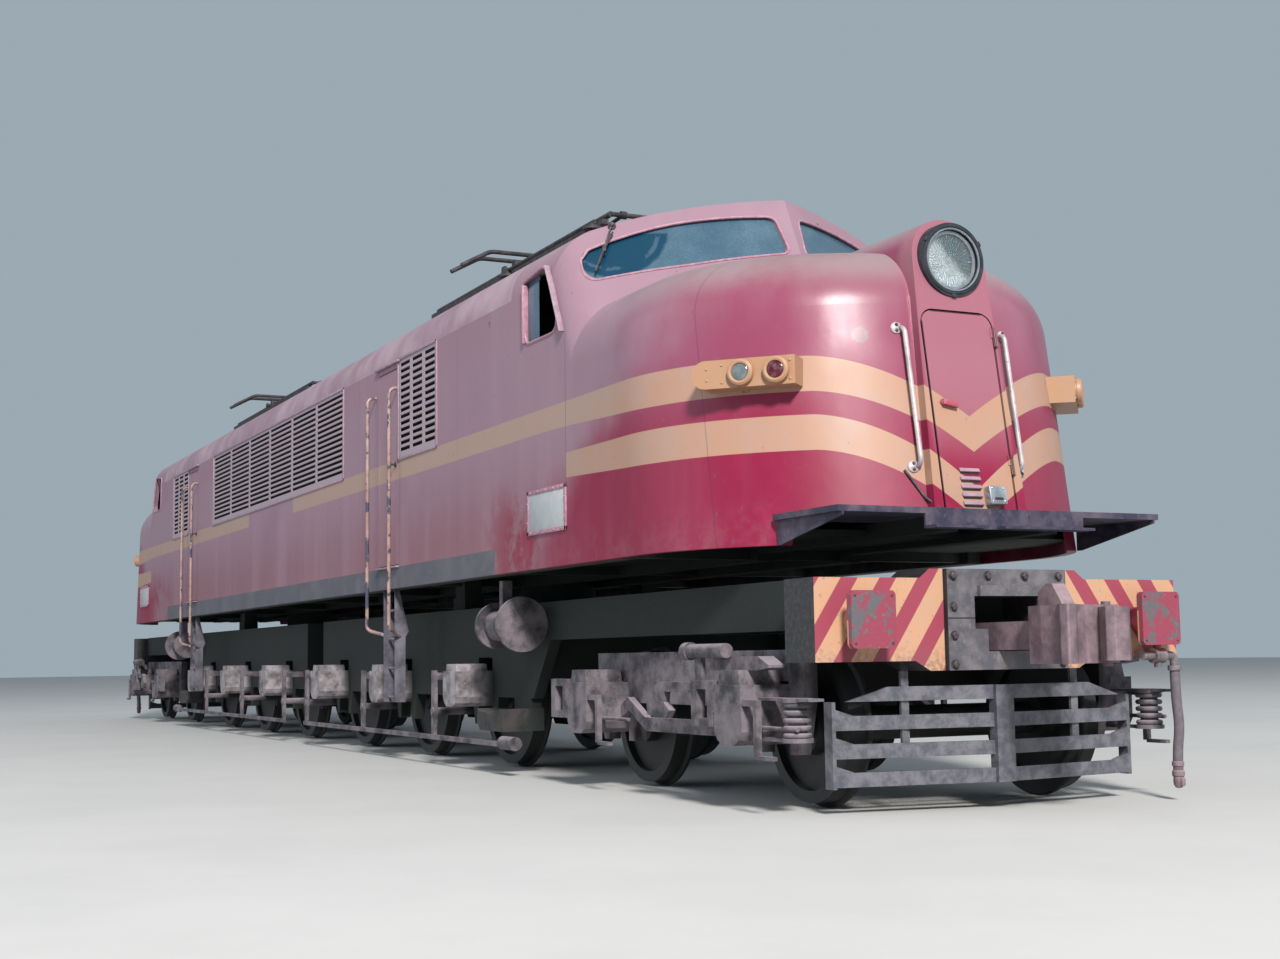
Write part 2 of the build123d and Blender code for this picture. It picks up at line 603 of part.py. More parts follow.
def nose_plan(inset, level, rear):
    """The nose's level outline: straight sides and a half round front."""
    half = BODY_HALF - inset
    centre = NOSE_CENTRE_X + NOSE_RAKE * (BODY_BOTTOM - level)
    edges = [Line((rear, half, level), (rear, -half, level)),
             Line((rear, -half, level), (centre, -half, level)),
             ThreePointArc((centre, -half, level), (centre + half, 0, level), (centre, half, level)),
             Line((centre, half, level), (rear, half, level))]
    return Face(Wire(edges))


def hood(inset, bottom):
    """The round nose, raked, with its top edge rounded."""
    form = leaned(nose_plan(inset, bottom, CAB_REAR_X - 600), HOOD_TOP - inset - bottom, NOSE_RAKE)
    top = [edge for edge in form.faces().sort_by(Axis.Z)[-1].edges() if edge.center().X > CAB_REAR_X]
    form = fillet(top, HOOD_ROUND - inset)
    return form & box(CAB_REAR_X, NOSE_FRONT_X + 500, -2000, 2000, bottom, 5000)


def superstructure(inset, bottom):
    """The cab above the hood: a prow of two raked screens with rounded corners under the roof's section."""
    half = BODY_HALF - inset
    level = 2600
    prow = POST_X - SCREEN_RAKE * (level - POST_Z) - inset * sqrt(1 + SCREEN_SWEEP ** 2)
    corner = prow - SCREEN_SWEEP * half
    rear = CAB_REAR_X - 1200
    plan = Polyline((rear, half, level), (rear, -half, level), (corner, -half, level), (prow, 0, level),
                    (corner, half, level), close=True)
    form = leaned(Face(Wire(plan.edges())), 5000 - level, SCREEN_RAKE)
    posts = [edge for edge in form.edges() if abs(edge.center().Y) > half - 1 and edge.center().X > CAB_REAR_X
             and abs(edge.tangent_at(0.5).Z) > 0.5]
    return fillet(posts, SCREEN_CORNER - inset) & body_prism(CAB_REAR_X, NOSE_FRONT_X, inset, level)


def fairing(inset, bottom):
    """The flat middle panel with its round top, run back over the hood to the screens."""
    low, high = (half - inset for half in PANEL_HALF)
    low += (PANEL_HALF[0] - PANEL_HALF[1]) * (BODY_BOTTOM - bottom) / (LAMP_Z - BODY_BOTTOM)
    outline = [Line((0, -low, bottom), (0, low, bottom)), Line((0, low, bottom), (0, high, LAMP_Z)),
               ThreePointArc((0, high, LAMP_Z), (0, 0, LAMP_Z + high), (0, -high, LAMP_Z)),
               Line((0, -high, LAMP_Z), (0, -low, bottom))]
    bar = extrude(Pos(POST_X - 200, 0, 0) * Face(Wire(outline)), 3000, dir=(1, 0, 0))
    front = PANEL_FRONT_X - inset
    rake = plate_xz([(CAB_REAR_X, bottom - 10), (front + NOSE_RAKE * (BODY_BOTTOM - bottom + 10), bottom - 10),
                     (front - NOSE_RAKE * (4000 - BODY_BOTTOM), 4000), (CAB_REAR_X, 4000)], -1000, 1000)
    return bar & rake


def nose_form(inset, bottom):
    return hood(inset, bottom) + superstructure(inset, bottom) + fairing(inset, bottom)


SCREEN_OUTLINE = ((104, 3985), (722, 3942), (BODY_HALF - 133, 3712), (BODY_HALF - 140, 3490), (704, 3621),
                  (68, 3690))      # (y, z), with the top and the bottom edge as arcs through their middles
SCREEN_ROUND = (55, 88)            # at the centre post and at the outer end
SIDE_WINDOW = ((7230, 3170), (7170, 3640), (7610, 3690), (7830, 3260), (7780, 3170))       # (x, z)


def screen_cut(side, shrink):
    middle_y = sum(y for y, z in SCREEN_OUTLINE) / len(SCREEN_OUTLINE)
    x0, x1 = 7760, 9300
    points = [(x0, side * (y - shrink * (1 if y > middle_y else -1)), z + way * shrink)
              for (y, z), way in zip(SCREEN_OUTLINE, (-1, -1, -1, 1, 1, 1))]
    top_in, top, top_out, low_out, low, low_in = points
    edges = [ThreePointArc(top_in, top, top_out), Line(top_out, low_out), ThreePointArc(low_out, low, low_in),
             Line(low_in, top_in)]
    form = extrude(Face(Wire(edges)), x1 - x0, dir=(1, 0, 0))
    corners = form.edges().filter_by(Axis.X).sort_by(lambda edge: abs(edge.center().Y))
    post_round, end_round = SCREEN_ROUND
    form = fillet(corners[2:], end_round - shrink)
    corners = [edge for edge in form.edges().filter_by(Axis.X) if abs(edge.center().Y) < 2 * post_round]
    return fillet(corners, post_round - shrink)


def window_cut(side, shrink):
    middle_x = sum(x for x, z in SIDE_WINDOW) / len(SIDE_WINDOW)
    middle_z = sum(z for x, z in SIDE_WINDOW) / len(SIDE_WINDOW)
    points = [(x - shrink * (1 if x > middle_x else -1), z - shrink * (1 if z > middle_z else -1))
              for x, z in SIDE_WINDOW]
    y0, y1 = sorted((side * (BODY_HALF - 225), side * (BODY_HALF + 175)))
    form = plate_xz(points, y0, y1)
    return fillet(form.edges().filter_by(Axis.Y), 60 - shrink)


def nose_door_cut(gap, x0, x1):
    low, high = NOSE_DOOR_Z
    half = NOSE_DOOR_HALF + gap
    form = box(x0, x1, -half, half, low - gap, high + gap)
    return fillet(form.edges().filter_by(Axis.X).sort_by(Axis.Z)[-2:], 90 + gap)


def nose_hinges(way):
    """Hinge knuckles on the raked panel: way 1 gives the panel's, way -1 the door's above them."""
    place = Pos(PANEL_FRONT_X, 0, BODY_BOTTOM) * Rot(0, -degrees(atan(NOSE_RAKE)), 0)
    axis_y = NOSE_DOOR_HALF + DOOR_GAP / 2
    height = 60
    found = []
    for z in (420, 1230):
        low = z if way > 0 else z + height + SEAT_GAP
        leaf = box(0, 6, *sorted((axis_y, axis_y + way * 24)), low, low + height)
        found.append(place * (rod_z(HINGE_RADIUS, axis_y, low, low + height, HINGE_RADIUS) + leaf))
    return found


def nose_shell():
    shell = nose_form(0, BODY_BOTTOM) - nose_form(WALL, BODY_BOTTOM - 20)
    shell -= box(FOOT_REAR_X, NOSE_FRONT_X + 500, -BODY_HALF, BODY_HALF, BODY_BOTTOM - 10, FOOT_PLATE_Z[1])
    for side in (-1, 1):
        shell = shell - screen_cut(side, 0) - window_cut(side, 0)
    shell = shell - nose_door_cut(DOOR_GAP, 10200, 10800) - rod_x(lamp_x() - 40, 10800, 0, LAMP_Z, LAMP_RADIUS)
    return shell + nose_hinges(1)


def cab_glass():
    sheet = superstructure(24, 0) - superstructure(32, 0)
    panes = [sheet & screen_cut(side, 1) for side in (-1, 1)]
    rear_half = box(7100, 7420, -BODY_HALF, BODY_HALF, 3100, 3800)
    for side in (-1, 1):
        panes.append(sheet & window_cut(side, 1) & rear_half)
    return panes


def nose_door():
    low, high = NOSE_DOOR_Z
    slab = plate_xz([(PANEL_FRONT_X - NOSE_RAKE * (z - BODY_BOTTOM) - back, z)
                     for z, back in ((low, 0), (high, 0), (high, WALL), (low, WALL))], -400, 400)
    return (slab & nose_door_cut(0, 10200, 10800)) + nose_hinges(-1)


# Middle body
BIG_LOUVRE_X = (-3504, 2470)
SMALL_LOUVRES_X = ((4240, 5240), (-6190, -5160))
LOUVRE_Z = (2665, 3545)


def side_wall(side):
    """The wall on one side; the -Y wall is laid out here and the +Y wall is its copy turned half round."""
    wall = box(-CAB_REAR_X, CAB_REAR_X, -BODY_HALF, -BODY_HALF + WALL, BODY_BOTTOM, SHOULDER_Z)
    wall -= box(-SILL_END_X, SILL_END_X, -BODY_HALF - 5, -BODY_HALF + WALL + 5, BODY_BOTTOM - 5, SILL_TOP)
    low, high = LOUVRE_Z
    for x0, x1 in (BIG_LOUVRE_X, *SMALL_LOUVRES_X):
        wall -= box(x0, x1, -BODY_HALF - 5, -BODY_HALF + WALL + 5, low, high)
    for x0, x1 in (DOOR_X, REAR_DOOR_X):
        wall -= box(x0 - DOOR_GAP, x1 + DOOR_GAP, -BODY_HALF - 5, -BODY_HALF + WALL + 5, DOOR_Z[0] - DOOR_GAP,
                    DOOR_Z[1] + DOOR_GAP)
        wall += door_hinges(x0, -1)
    return wall if side < 0 else turned(wall)


def door_hinges(x0, way):
    """Knuckles inside the rear jamb of a body door: way -1 gives the wall's, way 1 the door's above them."""
    inner = -BODY_HALF + WALL
    axis_x = x0 - DOOR_GAP / 2
    height = 60
    found = []
    for z in (DOOR_Z[0] + 200, DOOR_Z[0] + 840, DOOR_Z[1] - 320):
        low = z if way < 0 else z + height + SEAT_GAP
        leaf = box(*sorted((axis_x, axis_x + way * 45)), inner, inner + 5, low, low + height)
        found.append(rod_z(axis_x, inner + HINGE_RADIUS, low, low + height, HINGE_RADIUS) + leaf)
    return found


def louvre(x0, x1, columns, rows):
    """A plate with columns of slanting slots between narrow bars."""
    low, high = LOUVRE_Z
    y0, y1 = -BODY_HALF, -BODY_HALF + WALL - 15
    plate = box(x0, x1, y0, y1, low, high)
    column = (x1 - x0) / columns
    pitch = (high - low - 60) / rows
    slots = []
    for i in range(columns):
        for k in range(rows):
            z = low + 30 + (k + 0.5) * pitch
            place = Pos(x0 + (i + 0.5) * column, (y0 + y1) / 2, z) * Rot(-30, 0, 0)
            slots.append(place * Box(column - 70, 120, pitch * 0.5))
    return plate - slots


def louvres():
    found = [louvre(*BIG_LOUVRE_X, 6, 15)]
    for x0, x1 in SMALL_LOUVRES_X:
        found.append(louvre(x0, x1, 3, 14))
    return found


def side_door(x0, x1):
    return box(x0, x1, -BODY_HALF, -BODY_HALF + WALL, *DOOR_Z) + door_hinges(x0, 1)


def roof():
    outer = body_prism(-CAB_REAR_X, CAB_REAR_X, 0, SHOULDER_Z - 200)
    inner = body_prism(-CAB_REAR_X - 10, CAB_REAR_X + 10, WALL, SHOULDER_Z - 210)
    return (outer - inner) & box(-CAB_REAR_X, CAB_REAR_X, -BODY_HALF, BODY_HALF, SHOULDER_Z, ROOF_TOP)


def sill_panels():
    return both_sides(box(-SILL_END_X, SILL_END_X, -BODY_HALF, -BODY_HALF + WALL, BODY_BOTTOM, SILL_TOP))


def underframe():
    """Deck plate with two centre sills, side sills, cross bearers and the two centre plates."""
    edge = BODY_HALF - WALL - SEAT_GAP
    deck = extrude(nose_plan(WALL + 2, DECK_TOP, 0), DECK_Z - DECK_TOP, dir=(0, 0, 1)) & box(
        -10, DECK_END_X, -2000, 2000, DECK_Z, DECK_TOP)
    frame = deck + turned(deck)
    sill_x = NOSE_CENTRE_X - 400
    for y in (-edge + 60, -360, 360, edge - 60):
        frame += box(-sill_x, sill_x, y - 60, y + 60, BODY_BOTTOM, DECK_Z)
    for i in range(-4, 5):
        frame += box(i * 2130 - 50, i * 2130 + 50, 60 - edge, edge - 60, BODY_BOTTOM + 15, DECK_Z)
    for end in (-1, 1):
        x0, x1 = sorted((end * (sill_x - 100), end * (FOOT_FRONT_X - 60)))
        for y in (-360, 360):
            frame += box(x0, x1, y - 60, y + 60, DECK_Z - 30, FOOT_PLATE_Z[0])
        plate = rod_z(end * PIVOT_X, 0, FRAME_TOP + BOWL_HEIGHT + SEAT_GAP, DECK_Z, PIVOT_RADIUS)
        pin = rod_z(end * PIVOT_X, 0, 1100, DECK_Z, KINGPIN_RADIUS)
        pads = [box(end * PIVOT_X - 120, end * PIVOT_X + 120, y - 80, y + 80,
                    FRAME_TOP + BEARER_HEIGHT + SEAT_GAP, DECK_Z) for y in (-BEARER_Y, BEARER_Y)]
        frame = frame + plate + pin + pads
    return frame


def foot_plate():
    """The level plate that the nose stands on, with side gussets below it and a lower step in front."""
    low, high = FOOT_PLATE_Z
    plate = box(FOOT_REAR_X, FOOT_FRONT_X, -FOOT_HALF, FOOT_HALF, low, high)
    riser = box(FOOT_FRONT_X - 16, FOOT_FRONT_X, -STEP_HALF, STEP_HALF, STEP_TOP - 16, low)
    tread = box(FOOT_FRONT_X - 16, STEP_FRONT_X, -STEP_HALF, STEP_HALF, STEP_TOP - 16, STEP_TOP)
    notch = box(FOOT_FRONT_X + 20, STEP_FRONT_X + 10, *STEP_NOTCH, STEP_TOP - 30, STEP_TOP + 10)
    gusset = plate_xz([(FOOT_REAR_X, BODY_BOTTOM), (FOOT_REAR_X + 40, BODY_BOTTOM), (FOOT_FRONT_X, low - 20),
                       (FOOT_FRONT_X, low), (FOOT_REAR_X, low)], FOOT_HALF - 40, FOOT_HALF - 28)
    return plate + riser + (tread - notch) + both_sides(gusset)


# Roof equipment
def insulator(x, y, z0, z1):
    post = rod_z(x, y, z0, z1, 38)
    count = 3
    pitch = (z1 - z0) / count
    sheds = [rod_z(x, y, z0 + (k + 0.35) * pitch, z0 + (k + 0.65) * pitch, 75) for k in range(count)]
    return post + sheds


def roof_height(y):
    crown, crown_z = roof_circle(0)
    return crown_z + sqrt(crown ** 2 - y ** 2)


def panto_base():
    """Four insulators under a frame of two long and three cross bars, with the arms' bearings."""
    z0 = ARM_Z - 85
    bars = [box(PANTO_X - BASE_HALF, PANTO_X + BASE_HALF, y - 30, y + 30, z0, z0 + 40) for y in (-560, 560)]
    bars += [box(PANTO_X + dx - 30, PANTO_X + dx + 30, -560, 560, z0, z0 + 40) for dx in (-1950, 0, 1950)]
    feet = [insulator(PANTO_X + dx, y, roof_height(ROOF_INSULATOR_Y) - 15, z0) for dx in (-1500, 1500)
            for y in (-ROOF_INSULATOR_Y, ROOF_INSULATOR_Y)]
    bearings = [plate_xz([(x - 60, z0 + 40), (x + 60, z0 + 40), (x + 35, ARM_Z + 40), (x - 35, ARM_Z + 40)],
                         y - 12, y + 12)
                for x in (PANTO_X - ARM_PIVOT, PANTO_X + ARM_PIVOT) for y in (-560, 560)]
    reach = 560 - LOWER_Y + 28
    shafts = [rod_y(PANTO_X + dx, *sorted((side * 560, side * (560 - reach))), ARM_Z, 16)
              for dx in (-ARM_PIVOT, ARM_PIVOT) for side in (-1, 1)]
    roof_cut = body_prism(PANTO_X - 2500, PANTO_X + 2500, 0, 3000)
    return Part() + bars + feet + bearings + shafts - roof_cut


def lower_arm(way):
    """Two tubes from the base bearings out to the knee; way is -1 for the rear arm and 1 for the front arm."""
    root = PANTO_X + way * ARM_PIVOT
    knee = root + way * ARM_LENGTH
    x0, x1 = sorted((root, knee))
    tubes = [rod_x(x0, x1, y, ARM_Z, 24) for y in (-LOWER_Y, LOWER_Y)]
    tie = rod_y(knee, -LOWER_Y, LOWER_Y, ARM_Z, 20)
    hubs = [rod_y(root, y - 28, y + 28, ARM_Z, 34) for y in (-LOWER_Y, LOWER_Y)]
    form = Part() + tubes + tie + hubs
    return form - [rod_y(root, y - 40, y + 40, ARM_Z, 16 + RUNNING_GAP) for y in (-LOWER_Y, LOWER_Y)]


def upper_arm(way):
    """Two lighter tubes that run in from the knee to the head."""
    head = PANTO_X + way * ARM_PIVOT
    knee = head + way * ARM_LENGTH
    found = Part()
    for side in (-1, 1):
        found += pipe([(knee, side * 400, ARM_Z), (head, side * 260, ARM_Z)], 16, 100)
        found += rod_y(knee, side * 400 - 25, side * 400 + 25, ARM_Z, 32)
        found += rod_y(head, side * 260 - 20, side * 260 + 20, ARM_Z, 26)
    found += rod_y(head + way * 900, -320, 320, ARM_Z, 12)
    cut = [rod_y(knee, side * 400 - 40, side * 400 + 40, ARM_Z, 20 + RUNNING_GAP) for side in (-1, 1)]
    cut += [rod_y(head, side * 260 - 40, side * 260 + 40, ARM_Z, 12 + RUNNING_GAP) for side in (-1, 1)]
    return found - cut


def panto_head():
    """Two strips with bent-down horns, on a small cradle that the upper arms carry."""
    cross = [rod_y(PANTO_X + dx, -300, 300, ARM_Z, 12) for dx in (-ARM_PIVOT, ARM_PIVOT)]
    cheeks = [plate_xz([(PANTO_X - ARM_PIVOT - 25, ARM_Z - 22), (PANTO_X + ARM_PIVOT + 25, ARM_Z - 22),
                        (PANTO_X + ARM_PIVOT + 25, ARM_Z + 22), (PANTO_X + 60, STRIP_Z - 20),
                        (PANTO_X - 60, STRIP_Z - 20), (PANTO_X - ARM_PIVOT - 25, ARM_Z + 22)], y - 6, y + 6)
              for y in (-300, 300)]
    strips = [pipe([(x, -1075, STRIP_Z - 150), (x, -800, STRIP_Z), (x, 800, STRIP_Z), (x, 1075, STRIP_Z - 150)],
                   20, 180) for x in (PANTO_X - 140, PANTO_X + 140)]
    ties = [rod_x(PANTO_X - 140, PANTO_X + 140, y, STRIP_Z - 10, 14) for y in (-300, 300)]
    return Part() + cross + cheeks + strips + ties


def bus_bar():
    """A bar on two insulators, from beside the pantograph to the cab."""
    start, end = 5000, 6850
    posts = [insulator(x, BUS_Y, roof_height(BUS_Y) - 15, BUS_Z) for x in (start + 60, end)]
    roof_cut = body_prism(3000, CAB_REAR_X, 0, 3000)
    return Part() + posts + rod_x(start, end + 40, BUS_Y, BUS_Z + 10, 16) - roof_cut


def main_bus():
    """The bar that joins the two pantographs."""
    reach = 2900
    posts = [insulator(x, MAIN_BUS_Y, roof_height(MAIN_BUS_Y) - 15, MAIN_BUS_Z) for x in (-2300, 0, 2300)]
    roof_cut = body_prism(-3000, 3000, 0, 3000)
    return Part() + posts + rod_x(-reach, reach, MAIN_BUS_Y, MAIN_BUS_Z + 10, 16) - roof_cut


# Lamps, rails and ladders on the body
def lamp_x():
    return PANEL_FRONT_X - NOSE_RAKE * (LAMP_Z - BODY_BOTTOM)


def headlight():
    """The round can let into the raked panel, with its rim standing out."""
    x = lamp_x()
    return rod_x(x - 40, x + 48, 0, LAMP_Z, LAMP_RADIUS) - rod_x(x - 10, x + 60, 0, LAMP_Z, LAMP_RADIUS - 42)


def headlight_glass():
    x = lamp_x()
    return rod_x(x + 10, x + 20, 0, LAMP_Z, LAMP_RADIUS - 42 - SEAT_GAP)


def marker_lamp(side):
    """A long housing laid against the curve of the nose, round at its outer end, with two lamp rims."""
    lean = NOSE_RAKE * (MARKER_Z - BODY_BOTTOM)
    place = Pos(NOSE_CENTRE_X - lean, 0, MARKER_Z) * Rot(0, 0, side * MARKER_TURN)
    inner, outer = (side * end for end in MARKER_ENDS)
    face = BODY_HALF + MARKER_STAND
    body = box(face - 400, face, *sorted((inner, outer)), -MARKER_HALF, MARKER_HALF)
    corners = [edge for edge in body.edges().filter_by(Axis.X) if abs(edge.center().Y - outer) < 1]
    body = fillet(corners, MARKER_HALF - 2)
    rims = [rod_x(face - 5, face + 30, side * y, 0, MARKER_HALF - 8) for y in MARKER_LAMPS]
    return place * (body + rims) - nose_form(-SEAT_GAP, BODY_BOTTOM)


def nose_rails():
    """A rail each side of the nose door, standing off the round of the nose."""
    core = nose_form(-SEAT_GAP, BODY_BOTTOM)
    low, high = NOSE_RAIL_Z
    places = [(high, -110), (high, NOSE_RAIL_OUT), (low, NOSE_RAIL_OUT), (low, -110)]
    found = []
    for side in (-1, 1):
        route = [(PANEL_FRONT_X - NOSE_RAKE * (z - BODY_BOTTOM) + out, side * NOSE_RAIL_Y, z)
                 for z, out in places]
        found.append(pipe(route, 15, 45) - core)
    return found


def ladder(x0, x1):
    """Two plates pointed at the top, with four rungs, hung under the sill."""
    mid = (x0 + x1) / 2 + LADDER_SHIFT
    outline = [(LADDER_Y, BODY_BOTTOM), (LADDER_Y, 500), (LADDER_Y + 100, 500), (LADDER_Y + 100, 1080),
               (LADDER_Y + 130, 1130), (LADDER_Y + 40, BODY_BOTTOM)]
    plates = [plate_yz(outline[::-1], x - 6, x + 6) for x in (mid - LADDER_HALF, mid + LADDER_HALF)]
    rungs = [rod_x(mid - LADDER_HALF, mid + LADDER_HALF, LADDER_Y + 50, z, 12) for z in (540, 800, 1060, 1320)]
    return Part() + plates + rungs


def door_rails(x0, x1, steps):
    """A tall rail each side of a body door, bent in to the ladder below."""
    wall = -BODY_HALF - SEAT_GAP
    mid = (x0 + x1) / 2 + LADDER_SHIFT
    found = []
    for x, way in ((x0 - 100, -1), (x1 + 10, 1)):
        foot = mid + way * (LADDER_HALF + 4)
        rail = pipe([(x, wall, 3300), (x, wall - 85, 3300), (x, wall - 85, 1150),
                     (foot, LADDER_Y + 50, 1090)], 16, 60)
        found.append(rail - steps)
    return found


# Cab interior
def cab_room():
    """Floor, rear wall with a doorway and front wall of one cab."""
    half = BODY_HALF - WALL - SEAT_GAP
    rear = box(6500, 6540, -half, half, DECK_TOP, 3540) - box(6490, 6550, -300, 300, 2150, 3500)
    floor = box(6540, 8500, -half, half, 2110, 2150)
    front = box(8500, 8530, -half, half, DECK_TOP, 2860)
    return rear + floor + front


def cab_fittings():
    """A desk under each screen and a seat behind it."""
    found = []
    for side in (-1, 1):
        desk = plate_xz([(8080, 2150), (8500 - SEAT_GAP, 2150), (8500 - SEAT_GAP, 3150), (8200, 3100)],
                        *sorted((side * 400, side * 1300)))
        seat = box(7250, 7700, *sorted((side * 500, side * 1000)), 2600, 2690)
        back = box(7200, 7270, *sorted((side * 500, side * 1000)), 2600, 3200)
        column = rod_z(7470, side * 750, 2150, 2600, 45)
        found += [desk, seat + back + column]
    return found


def build():
    for number, x in enumerate(GUIDE_XS, 1):
        add(f"front_guide_wheels_{number}", wheelset(x, GUIDE_RADIUS))
        add(f"rear_guide_wheels_{number}", turned(wheelset(x, GUIDE_RADIUS)))
    for number, x in enumerate(DRIVER_XS, 1):
        add(f"front_driving_wheels_{number}", wheelset(x, DRIVER_RADIUS))
        add(f"rear_driving_wheels_{number}", turned(wheelset(x, DRIVER_RADIUS)))

    frame = truck_frame()
    pocket = draft_pocket()
    add("front_truck_frame", frame + tongue() + pocket)
    add("rear_truck_frame", turned(frame + pocket) + jaws())
    ends = (("front", lambda shape: shape), ("rear", turned))
    gear = spring_gear()
    beam = end_beam()
    low_pilot = pilot()
    hook = coupler()
    brakes = brake_gear()
    cylinder = brake_cylinder()
    guide = guide_truck()
    hose = brake_hose()
    beam_and_pilot = beam + low_pilot
    for end, place in ends:
        add(f"{end}_spring_gear", *[place(shape) for shape in gear])
        add(f"{end}_end_beam", place(beam_and_pilot))
        add(f"{end}_coupler", place(hook))
        add(f"{end}_brake_hose", *[place(shape) for shape in hose])
        add(f"{end}_brake_gear", place(brakes), *[place(shape) for shape in both_sides(cylinder)])
        add(f"{end}_guide_truck", *[place(shape) for shape in guide])

    shell = nose_shell()
    add("nose_shells", shell, turned(shell))
    add("side_walls", side_wall(-1), side_wall(1))
    add("roof", roof())
    add("underframe", underframe())
    add("sill_panels", *sill_panels())
    panels = louvres()
    add("right_louvres", *panels)
    add("left_louvres", *[turned(shape) for shape in panels])
    apron = foot_plate()
    glass = cab_glass()
    lamp = headlight()
    lens = headlight_glass()
    markers = [marker_lamp(side) for side in (-1, 1)]
    steps = [ladder(*DOOR_X), ladder(*REAR_DOOR_X)]
    rails = nose_rails() + door_rails(*DOOR_X, steps[0]) + door_rails(*REAR_DOOR_X, steps[1])
    room = cab_room()
    fittings = cab_fittings()
    base = panto_base()
    bus = bus_bar()
    for end, place in ends:
        add("foot_plates", place(apron))
        add("cab_glass", *[place(shape) for shape in glass])
        add("headlights", place(lamp))
        add("headlight_glass", place(lens))
        add("marker_lamps", *[place(shape) for shape in markers])
        add("handrails", *[place(shape) for shape in rails])
        add("ladders", *[place(shape) for shape in steps])
        add("cab_rooms", place(room))
        add("cab_fittings", *[place(shape) for shape in fittings])
        add("pantograph_bases", place(base))
        add("roof_gear", place(bus))
    add("roof_gear", main_bus())
    add("machine_block", box(-3000, 3000, -700, 700, DECK_TOP, 3300))

    door = nose_door()
    add("front_nose_door", door)
    add("rear_nose_door", turned(door))
    add("right_front_door", side_door(*DOOR_X))
    add("right_rear_door", side_door(*REAR_DOOR_X))
    add("left_rear_door", turned(side_door(*DOOR_X)))
    add("left_front_door", turned(side_door(*REAR_DOOR_X)))

    for end, place in ends:
        add(f"{end}_lower_arm_a", place(lower_arm(-1)))
        add(f"{end}_lower_arm_b", place(lower_arm(1)))
        add(f"{end}_upper_arm_a", place(upper_arm(-1)))
        add(f"{end}_upper_arm_b", place(upper_arm(1)))
        add(f"{end}_panto_head", place(panto_head()))


def write():
    os.makedirs("parts", exist_ok=True)
    lift = Pos(0, 0, FLANGE_HEIGHT)
    for name, shapes in pieces.items():
        solids = [lift * solid for shape in shapes for solid in shape.solids()]
        export_step(solids[0] if len(solids) == 1 else Compound(children=solids), f"parts/{name}.step")


build()
write()
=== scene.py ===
from math import atan, cos, pi, radians, sin, sqrt

import bmesh
import bpy
from mathutils import Matrix, Vector
from mathutils.bvhtree import BVHTree


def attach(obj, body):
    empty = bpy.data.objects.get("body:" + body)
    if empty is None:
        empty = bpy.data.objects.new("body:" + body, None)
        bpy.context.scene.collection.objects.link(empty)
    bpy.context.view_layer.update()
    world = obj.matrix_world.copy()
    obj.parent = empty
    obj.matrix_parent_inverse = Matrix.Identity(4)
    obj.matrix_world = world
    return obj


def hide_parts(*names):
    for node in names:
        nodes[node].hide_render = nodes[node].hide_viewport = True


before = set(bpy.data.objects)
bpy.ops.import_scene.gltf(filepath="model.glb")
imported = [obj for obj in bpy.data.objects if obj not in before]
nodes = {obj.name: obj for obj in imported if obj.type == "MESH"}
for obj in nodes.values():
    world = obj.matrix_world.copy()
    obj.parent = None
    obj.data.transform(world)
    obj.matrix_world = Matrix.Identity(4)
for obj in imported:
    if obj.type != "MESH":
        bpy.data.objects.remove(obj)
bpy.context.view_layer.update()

# Sizes in metres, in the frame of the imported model: +X to the front end, -Y to the seen side, floor at
# z 0. The tables of places on the body, the screens and the beam give heights above the rail.
LIFT = 0.028                     # rail top above the floor
BODY_HALF = 1.525
BODY_BOTTOM = 1.510 + LIFT
NOSE_CENTRE_X = 9.060            # axis of the nose's round at the bottom edge
NOSE_RAKE = 0.158
NOSE_SEAM_X = 10.020             # sheet joint across the nose, carried down its rake to z 0
NOSE_DOOR_HALF = 0.260
NOSE_DOOR_TOP = 2.930 + LIFT
PANEL_X = 10.618                 # raked middle panel at the bottom edge
SEAM_X = 7.950                   # where the lower stripe begins
SIDE_SEAMS_X = (-2.45, 0.53, 3.02, 5.75)
UPPER_STRIPE = (2.480 + LIFT, 2.650 + LIFT)          # lower and upper edge along the side
LOWER_STRIPE = (2.122 + LIFT, 2.288 + LIFT)
BARE_STRIPE = (-0.531, 1.526)    # where the upper stripe is missing: -x on the -Y side, x on the other
SCUFF = (10.259, -0.605, 2.800)  # middle of the round mark on the front nose
LAMP_Z = 3.258 + LIFT
LAMP_X = PANEL_X - NOSE_RAKE * (LAMP_Z - BODY_BOTTOM)
MARKER_Z = 2.545 + LIFT
MARKER_TURN = radians(47.5)
MARKER_FACE = BODY_HALF + 0.148
MARKER_HOOD = 0.030              # how far each lamp's hood stands before the housing
MARKER_LAMPS = (-0.163, 0.057)   # inner and outer lamp from the middle of the housing
MARKER_RIVETS = ((0.180, 0.052), (0.180, -0.052), (0.275, 0.034), (0.275, -0.034), (-0.245, -0.055),
                 (-0.245, 0.055))
SCREEN_OUTLINE = ((0.104, 3.985), (0.722, 3.942), (1.392, 3.712),
                  (1.385, 3.490), (0.704, 3.621), (0.068, 3.690))
SCREEN_CORNERS = (0.055, 0.095)  # inner and outer
SIDE_WINDOW = ((7.230, 3.170), (7.170, 3.640), (7.610, 3.690), (7.830, 3.260), (7.780, 3.170))
SIDE_WINDOW_CORNER = 0.075
WIPED_CENTRE = (7.962, 1.147, 3.895 + LIFT)
WIPED_REACH = 0.395              # from that centre to the end of the blade's sweep
WIPER_FOOT = (1.147, 3.930)
WIPER_BLADE = ((7.985, 1.160, 3.872), (8.018, 1.243, 3.735), (8.052, 1.330, 3.560))
WINDOW_STRIP = ((7.681, 3.667), (7.760, 3.520), (7.848, 3.335), (7.938, 3.148))
LATCH = (-0.144, 2.344)          # (y, z) on the middle panel, as the next two
